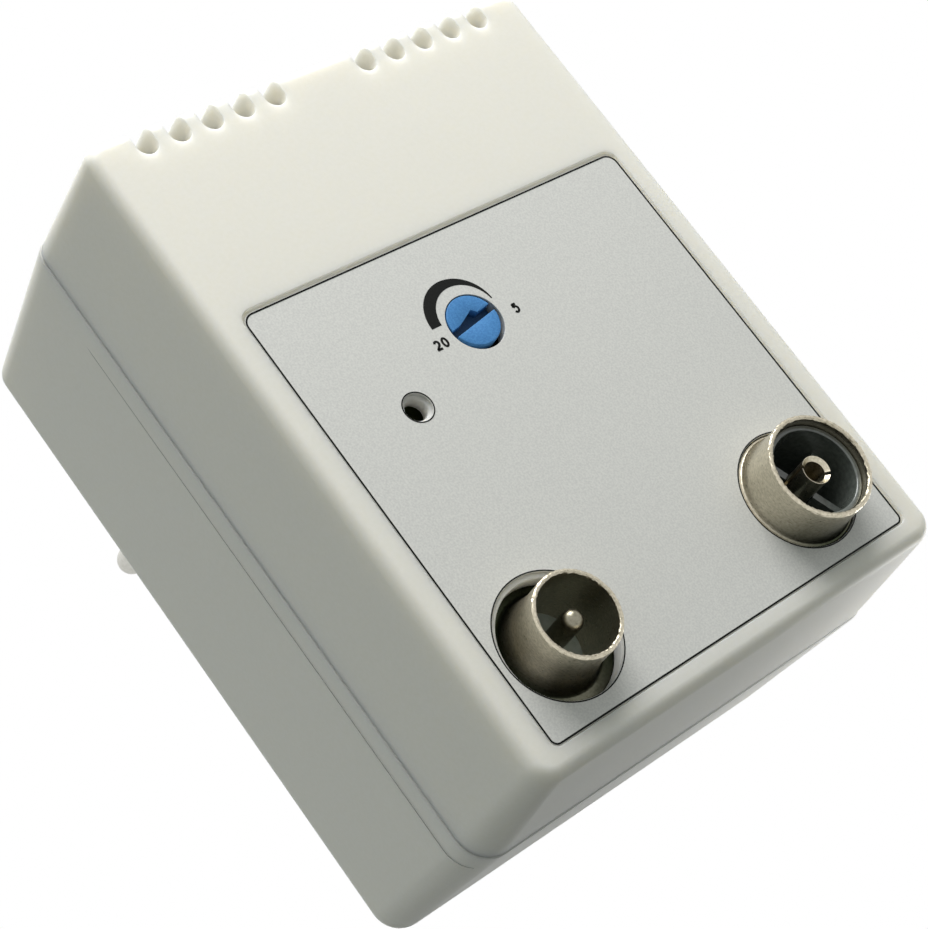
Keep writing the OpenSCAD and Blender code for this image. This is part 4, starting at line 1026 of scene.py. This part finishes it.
class AMP_OT_connectors(bpy.types.Operator):
    """Builds the aerial plug and the aerial socket"""

    bl_idname = "amplifier.connectors"
    bl_label = "Connectors"

    def execute(self, context):
        look = context.scene.amp_connector
        self.plug(look)
        self.socket(look)
        return {"FINISHED"}

    def plug(self, look):
        """The male connector: flared shell, insulator and domed centre pin."""
        low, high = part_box("tv_plug_shell")
        x, z = axis_of("tv_plug_shell")
        flange_r = bpy.context.scene.amp_panel.hole - look.play
        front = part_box("front_cover")[0].y
        flange = front + look.tv_flange_sink
        inner, body = look.tv_r - look.tv_wall, look.tv_r + look.tv_body
        rim = look.rim_round
        flare = flared(look.tv_r, look.tv_r + look.tv_flare_w, flange - look.tv_flare, flange)
        band = low.y + 2 * look.rim_reach
        flange_end = flange + look.tv_flange_t
        profile = [(look.tv_r, low.y), (look.tv_r, band), *flare, (flange_r, flange), (flange_r, flange_end),
                   (body, flange_end), (body, high.y), (inner, high.y), (inner, band), (inner, low.y)]
        shell = lathe(fillet(profile, [rim, 0] + [0] * len(flare) + [rim / 2, rim, rim, 0, 0, 0, rim]), x, z, 160)
        roughened(shell, low.y, look.rim_reach, look.rim_rough, 3)

        def plug_shade(point):
            """Painted shade: dark on the sunk flange, less so underneath, and dimmer inside."""
            across = math.hypot(point.x - x, point.z - z)
            if across < look.tv_r - look.tv_wall / 2:
                return look.inside_tarnish
            under = max((z - point.z) / across, 0.0)
            depth = min((point.y - front + look.shade_above) / (look.shade_above + look.shade_below), 1.0)
            return depth * (1 - look.shade_relief * under ** look.shade_relief_power)

        plug = painted_dark(as_object("tv_plug_shell_look", shell), plug_shade)
        finished(plug, nickel(), CASE, "nickel", "tv_plug_shell")
        floor, board = (corner.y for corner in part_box("tv_plug_insulator"))
        bore = look.tail_r + look.play
        ring = [(bore, floor), (inner, floor), (inner, board), (bore, board)]
        finished(as_object("tv_plug_insulator_look", lathe(fillet(ring, [rim, 0, 0, 0]), x, z)),
                 grey_insulator(), CASE, "black_plastic", "tv_plug_insulator")
        tip, end = (corner.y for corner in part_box("tv_plug_pin"))
        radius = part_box("tv_plug_pin")[1].x - x
        pin = dome(radius, tip) + [(radius, floor), (look.tail_r, floor), (look.tail_r, end), (0, end)]
        # Shade painted evenly over the centre pin, deep inside the shell
        centre = painted_dark(as_object("tv_plug_pin_look", lathe(pin, x, z, 48)), lambda point: look.pin_shade)
        finished(centre, nickel(), CASE, "nickel", "tv_plug_pin")

    def socket(self, look):
        """The female connector: collared shell, dark liner with webs and a split tubular contact."""
        low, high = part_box("in_socket_shell")
        x, z = axis_of("in_socket_shell")
        foot_r, inner = high.x - x, look.in_r - look.in_wall
        rim = look.rim_round
        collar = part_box("front_cover")[0].y + look.collar_sink
        collar_end, foot = collar + look.in_collar_t, high.y - look.in_foot
        flare = flared(look.in_r, look.in_collar_r - rim, collar - look.in_flare, collar)
        band = low.y + 2 * look.rim_reach
        profile = [(look.in_r, low.y), (look.in_r, band), *flare,
                   (look.in_collar_r, collar), (look.in_collar_r, collar_end),
                   (look.in_r, collar_end), (look.in_r, foot), (foot_r, foot), (foot_r, high.y),
                   (inner, high.y), (inner, band), (inner, low.y)]
        rounds = [rim, 0] + [0] * len(flare) + [rim / 2, rim, 0, 0, rim, 0, 0, 0, rim]
        shell = lathe(fillet(profile, rounds), x, z, 160)
        roughened(shell, low.y, look.rim_reach, look.rim_rough, 5)

        def socket_shade(point):
            """Painted shade: darker towards the foot, and most of all underneath."""
            across = math.hypot(point.x - x, point.z - z)
            if across < look.in_r - look.in_wall / 2:
                return look.inside_tarnish
            under = max((z - point.z) / across, 0.0)
            height = max(point.y - low.y, 0.0) / (collar - low.y)
            return height * (look.side_shade + look.under_shade * under)

        socket = painted_dark(as_object("in_socket_shell_look", shell), socket_shade)
        finished(socket, nickel(), CASE, "nickel", "in_socket_shell")
        edge, board = (corner.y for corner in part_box("in_socket_liner"))
        floor = low.y + look.floor_depth
        bore = look.tail_r + look.play
        cup = [(inner, edge), (inner, board), (bore, board), (bore, floor),
               (look.liner_r, floor), (look.liner_r, edge)]
        webs = []
        for k in range(look.web_count):
            turn = 2 * math.pi * k / look.web_count + look.web_turn
            along = Vector((math.cos(turn), math.sin(turn)))
            across = Vector((-math.sin(turn), math.cos(turn))) * look.web_t / 2
            near, far = along * look.web_in, along * (look.liner_r + look.play)
            corners = (near - across, far - across, far + across, near + across)
            line = [tuple(Vector((x, z)) + corner) for corner in corners]
            webs.append(prism(line, floor - look.web_h, floor + look.play))
        finished(as_object("in_socket_liner_look", lathe(fillet(cup, [rim, 0, 0, 0, 2 * rim, rim]), x, z), *webs),
                 dark_floor(), CASE, "black_plastic", "in_socket_liner")
        mouth, end = (corner.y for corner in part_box("in_socket_contact"))
        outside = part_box("in_socket_contact")[1].x - x
        deep = floor - look.contact_base
        tube = [(outside, mouth), (outside, floor), (look.tail_r, floor), (look.tail_r, end), (0, end),
                (0, deep), (look.contact_bore, deep), (look.contact_bore, mouth + look.funnel),
                (outside - look.play, mouth)]
        contact = as_object("in_socket_contact_look", lathe(tube, x, z, 64))
        turned = turned_line(box_line(2 * (outside + look.play), look.slit), look.slit_turn, x, z)
        carve(contact, as_object("slit", prism(turned, mouth - MM, mouth + look.slit_depth)))
        finished(contact, nickel(), CASE, "nickel", "in_socket_contact")


def flared(start_r, end_r, start, end, steps=10):
    """(radius, y) points that lead from a straight shell into its flange in one smooth curve."""
    turns = [math.pi / 2 * k / steps for k in range(steps + 1)]
    return [(start_r + (end_r - start_r) * (1 - math.cos(t)), start + (end - start) * math.sin(t)) for t in turns]


def roughened(solid, end, reach, amount, seed):
    """Makes the edge near one end of a turned solid uneven, as a cutting tool leaves it."""
    chance = random.Random(seed)
    for vertex in solid.verts:
        if abs(vertex.co.y - end) < reach:
            vertex.co += Vector([chance.uniform(-amount, amount) for _ in range(3)])


def dark_floor():
    """Shiny dark moulding inside the aerial socket: its own dark colour, lifted to paint in glossy reflections."""
    return surface("dark_moulding", (0.13, 0.145, 0.13), (0.09, 0.1, 0.09), 0.5 * MM, 0.2, bump=0.012 * MM, gleam=0.8)


def grey_insulator():
    """Grey moulding on the floor of the aerial plug."""
    return surface("grey_insulator", (0.6, 0.65, 0.6), (0.5, 0.55, 0.49), 0.7 * MM, 0.4, bump=0.01 * MM)


class AMP_OT_mains_plug(bpy.types.Operator):
    """Builds the mains pins and their sleeves"""

    bl_idname = "amplifier.mains_plug"
    bl_label = "Mains Plug"

    def execute(self, context):
        look, face_t = context.scene.amp_connector, context.scene.amp_cover.face_t
        for side in ("left", "right"):
            pin_node, sleeve_node = f"{side}_plug_pin", f"{side}_pin_sleeve"
            low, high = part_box(pin_node)
            x, z = axis_of(pin_node)
            sleeve_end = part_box(sleeve_node)[1].y
            collar, rim = high.x - x, look.rim_round
            end = [(radius, high.y - depth) for radius, depth in dome(look.pin_r, 0)]
            profile = [(0, low.y), (look.neck_r, low.y), (look.neck_r, -face_t - look.collar_t),
                       (collar, -face_t - look.collar_t), (collar, -face_t), (look.neck_r, -face_t),
                       (look.neck_r, sleeve_end), (look.pin_r, sleeve_end)] + end[::-1]
            finished(as_object(f"{pin_node}_look", lathe(profile, x, z, 64)), bright_pin(), CASE, "nickel", pin_node)
            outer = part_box(sleeve_node)[1].x - x
            bore = look.neck_r + look.play
            tube = [(outer, 0), (outer, sleeve_end), (bore, sleeve_end), (bore, 0)]
            finished(as_object(f"{sleeve_node}_look", lathe(fillet(tube, [0, rim / 2, 0, 0]), x, z, 64)),
                     black_plastic(), CASE, "black_plastic", sleeve_node)
        return {"FINISHED"}


class AMP_OT_screws(bpy.types.Operator):
    """Builds the case screws in the back"""

    bl_idname = "amplifier.screws"
    bl_label = "Screws"

    def execute(self, context):
        look = context.scene.amp_cover
        low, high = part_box("case_screws")
        head, shank, tall = look.screw_head, look.screw_shank, look.screw_tall
        tip = low.y - high.y + tall
        profile = [(0, tip), (shank, tip), (shank, 0), (head, 0), (head, tall), (0, tall)]
        screw = as_object("screw", lathe(fillet(profile, [0, 0, 0, 0, look.screw_round, 0]), 0, 0, 48))
        for line in (box_line(look.cross_l, look.cross_w), box_line(look.cross_w, look.cross_l)):
            carve(screw, as_object("cross", prism(line, tall - look.cross_depth, tall + MM)))
        steel = surface("screw_steel", (0.36, 0.36, 0.37), (0.28, 0.28, 0.29), 0.5 * MM, 0.34, metallic=1.0,
                        bump=0.003 * MM)
        screws = repeated("case_screws_look", screw, screw_heads("case_screws"), steel, most_turn=1.4, seed=4)
        finished(screws, steel, CASE, "screw_steel", "case_screws")
        return {"FINISHED"}


class AMP_OT_inside(bpy.types.Operator):
    """Gives the pieces inside the case their materials"""

    bl_idname = "amplifier.inside"
    bl_label = "Inside"

    def execute(self, context):
        slots = {part["node"]: part["material_slot"] for part in frame["record"]["subparts"]}
        looks = {item["slot"]: item for item in frame["record"]["materials"]}
        for name, node in frame["nodes"].items():
            if node.hide_render:
                continue
            item = looks[slots[name]]
            shown = [linear(value) for value in item["base_color"][:3]]
            dim = [value * 0.7 for value in shown]
            metal = item["class"] in METAL_CLASSES
            rough = 0.3 if item["class"] in GLOSS_CLASSES else 0.5
            node.data.materials.clear()
            node.data.materials.append(
                surface("inside_" + item["slot"], shown, dim, 0.7 * MM, rough, metallic=float(metal), bump=0.01 * MM))
        return {"FINISHED"}


# Stage


class AMP_OT_stage(bpy.types.Operator):
    """Builds the floor, lamps, background and camera"""

    bl_idname = "amplifier.stage"
    bl_label = "Stage"

    def execute(self, context):
        look = context.scene.amp_stage
        low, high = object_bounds()
        middle = (low + high) / 2
        half = look.floor_size / 2
        ground = low.z - look.floor_drop
        mesh = bpy.data.meshes.new("floor")
        mesh.from_pydata([(-half, -half, ground), (half, -half, ground), (half, half, ground), (-half, half, ground)],
                         [], [(0, 1, 2, 3)])
        floor = bpy.data.objects.new("floor", mesh)
        context.scene.collection.objects.link(floor)
        floor.data.materials.append(pale_floor())
        floor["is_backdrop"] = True
        self.camera(context, look)
        self.lamp(context, "key", middle, KEY_SIDE, look.key_far, look.key_size, look.key_power)
        self.lamp(context, "side", middle, LOW_SIDE, look.side_far, look.side_size, look.side_power)
        self.world(context, look)
        context.scene.view_settings.view_transform = "Standard"
        return {"FINISHED"}

    def camera(self, context, look):
        """The camera at the photograph's viewpoint."""
        data = bpy.data.cameras.new("camera")
        data.lens, data.sensor_width = look.lens, 36.0
        data.clip_start, data.clip_end = 0.01, 20.0
        camera = bpy.data.objects.new("camera", data)
        context.scene.collection.objects.link(camera)
        camera.location = (look.camera_x, look.camera_y, look.camera_z)
        aim = Vector((look.aim_x, look.aim_y, look.aim_z))
        turn = (aim - camera.location).to_track_quat("-Z", "Y").to_matrix()
        camera.rotation_euler = (turn @ Matrix.Rotation(-look.roll, 3, "Z")).to_euler()
        context.scene.camera = camera

    def lamp(self, context, name, middle, direction, distance, size, power):
        """A soft square lamp that faces the part."""
        data = bpy.data.lights.new(name, "AREA")
        data.shape, data.size, data.energy = "SQUARE", size, power
        lamp = bpy.data.objects.new(name, data)
        context.scene.collection.objects.link(lamp)
        lamp.location = middle + direction.normalized() * distance
        lamp.rotation_euler = (middle - lamp.location).to_track_quat("-Z", "Y").to_euler()

    def world(self, context, look):
        """White behind the part and in its reflections, and soft light all round."""
        world = bpy.data.worlds.new("room")
        context.scene.world = world
        world.use_nodes = True
        nodes, links = world.node_tree.nodes, world.node_tree.links
        room, white = nodes["Background"], nodes.new("ShaderNodeBackground")
        room.inputs["Color"].default_value = (*look.room, 1.0)
        room.inputs["Strength"].default_value = look.ambient
        white.inputs["Color"].default_value = (1.0, 1.0, 1.0, 1.0)
        white.inputs["Strength"].default_value = 1.0
        shown = nodes.new("ShaderNodeMixShader")
        links.new(seen(nodes, links), shown.inputs[0])
        links.new(room.outputs["Background"], shown.inputs[1])
        links.new(white.outputs["Background"], shown.inputs[2])
        links.new(shown.outputs["Shader"], nodes["World Output"].inputs["Surface"])


def seen(nodes, links):
    """A socket that is 1 for what the camera sees directly, in a reflection or through something clear.

    What a reflection throws onto a dull surface doesn't count.
    """
    path = nodes.new("ShaderNodeLightPath")
    total = path.outputs["Is Camera Ray"]
    for name in ("Is Glossy Ray", "Is Transmission Ray"):
        most = nodes.new("ShaderNodeMath")
        most.operation = "MAXIMUM"
        links.new(total, most.inputs[0])
        links.new(path.outputs[name], most.inputs[1])
        total = most.outputs["Value"]
    clear, both = nodes.new("ShaderNodeMath"), nodes.new("ShaderNodeMath")
    clear.operation, both.operation = "LESS_THAN", "MULTIPLY"
    links.new(path.outputs["Diffuse Depth"], clear.inputs[0])
    links.new(total, both.inputs[0])
    links.new(clear.outputs["Value"], both.inputs[1])
    return both.outputs["Value"]


def pale_floor():
    """A pale floor that shows about white and keeps shadows."""
    look = bpy.context.scene.amp_stage
    material = surface("floor", look.floor, [value * 0.97 for value in look.floor], 50 * MM, 0.8)
    nodes, links = material.node_tree.nodes, material.node_tree.links
    shader = nodes["Principled BSDF"]
    shader.inputs["Emission Color"].default_value = (1.0, 1.0, 1.0, 1.0)
    lift = nodes.new("ShaderNodeMath")
    lift.operation = "MULTIPLY"
    links.new(seen(nodes, links), lift.inputs[0])
    lift.inputs[1].default_value = look.floor_lift
    links.new(lift.outputs["Value"], shader.inputs["Emission Strength"])
    return material


class AMP_PT_panel(bpy.types.Panel):
    """Lists the build steps"""

    bl_label = "Aerial Amplifier"
    bl_idname = "AMP_PT_panel"
    bl_space_type = "VIEW_3D"
    bl_region_type = "UI"
    bl_category = "Amplifier"

    def draw(self, context):
        for operator in OPERATORS:
            self.layout.operator(operator.bl_idname)
        for name in ("front_round", "edge_break", "cream"):
            self.layout.prop(context.scene.amp_cover, name)


OPERATORS = (
    AMP_OT_front_cover, AMP_OT_rear_cover, AMP_OT_label, AMP_OT_gain_control, AMP_OT_lamp,
    AMP_OT_connectors, AMP_OT_mains_plug, AMP_OT_screws, AMP_OT_inside, AMP_OT_stage,
)
GROUPS = {
    "amp_cover": CoverSettings,
    "amp_panel": PanelSettings,
    "amp_connector": ConnectorSettings,
    "amp_stage": StageSettings,
}


def register():
    """Registers the settings, operators and panel."""
    for group in (*GROUPS.values(), *OPERATORS, AMP_PT_panel):
        bpy.utils.register_class(group)
    for name, group in GROUPS.items():
        setattr(bpy.types.Scene, name, bpy.props.PointerProperty(type=group))


def unregister():
    """Removes what register() added."""
    for name in GROUPS:
        delattr(bpy.types.Scene, name)
    for group in reversed((*GROUPS.values(), *OPERATORS, AMP_PT_panel)):
        bpy.utils.unregister_class(group)


def main():
    """Builds every piece in order."""
    register()
    for operator in OPERATORS:
        group, name = operator.bl_idname.split(".")
        getattr(getattr(bpy.ops, group), name)()


if __name__ == "__main__":
    main()
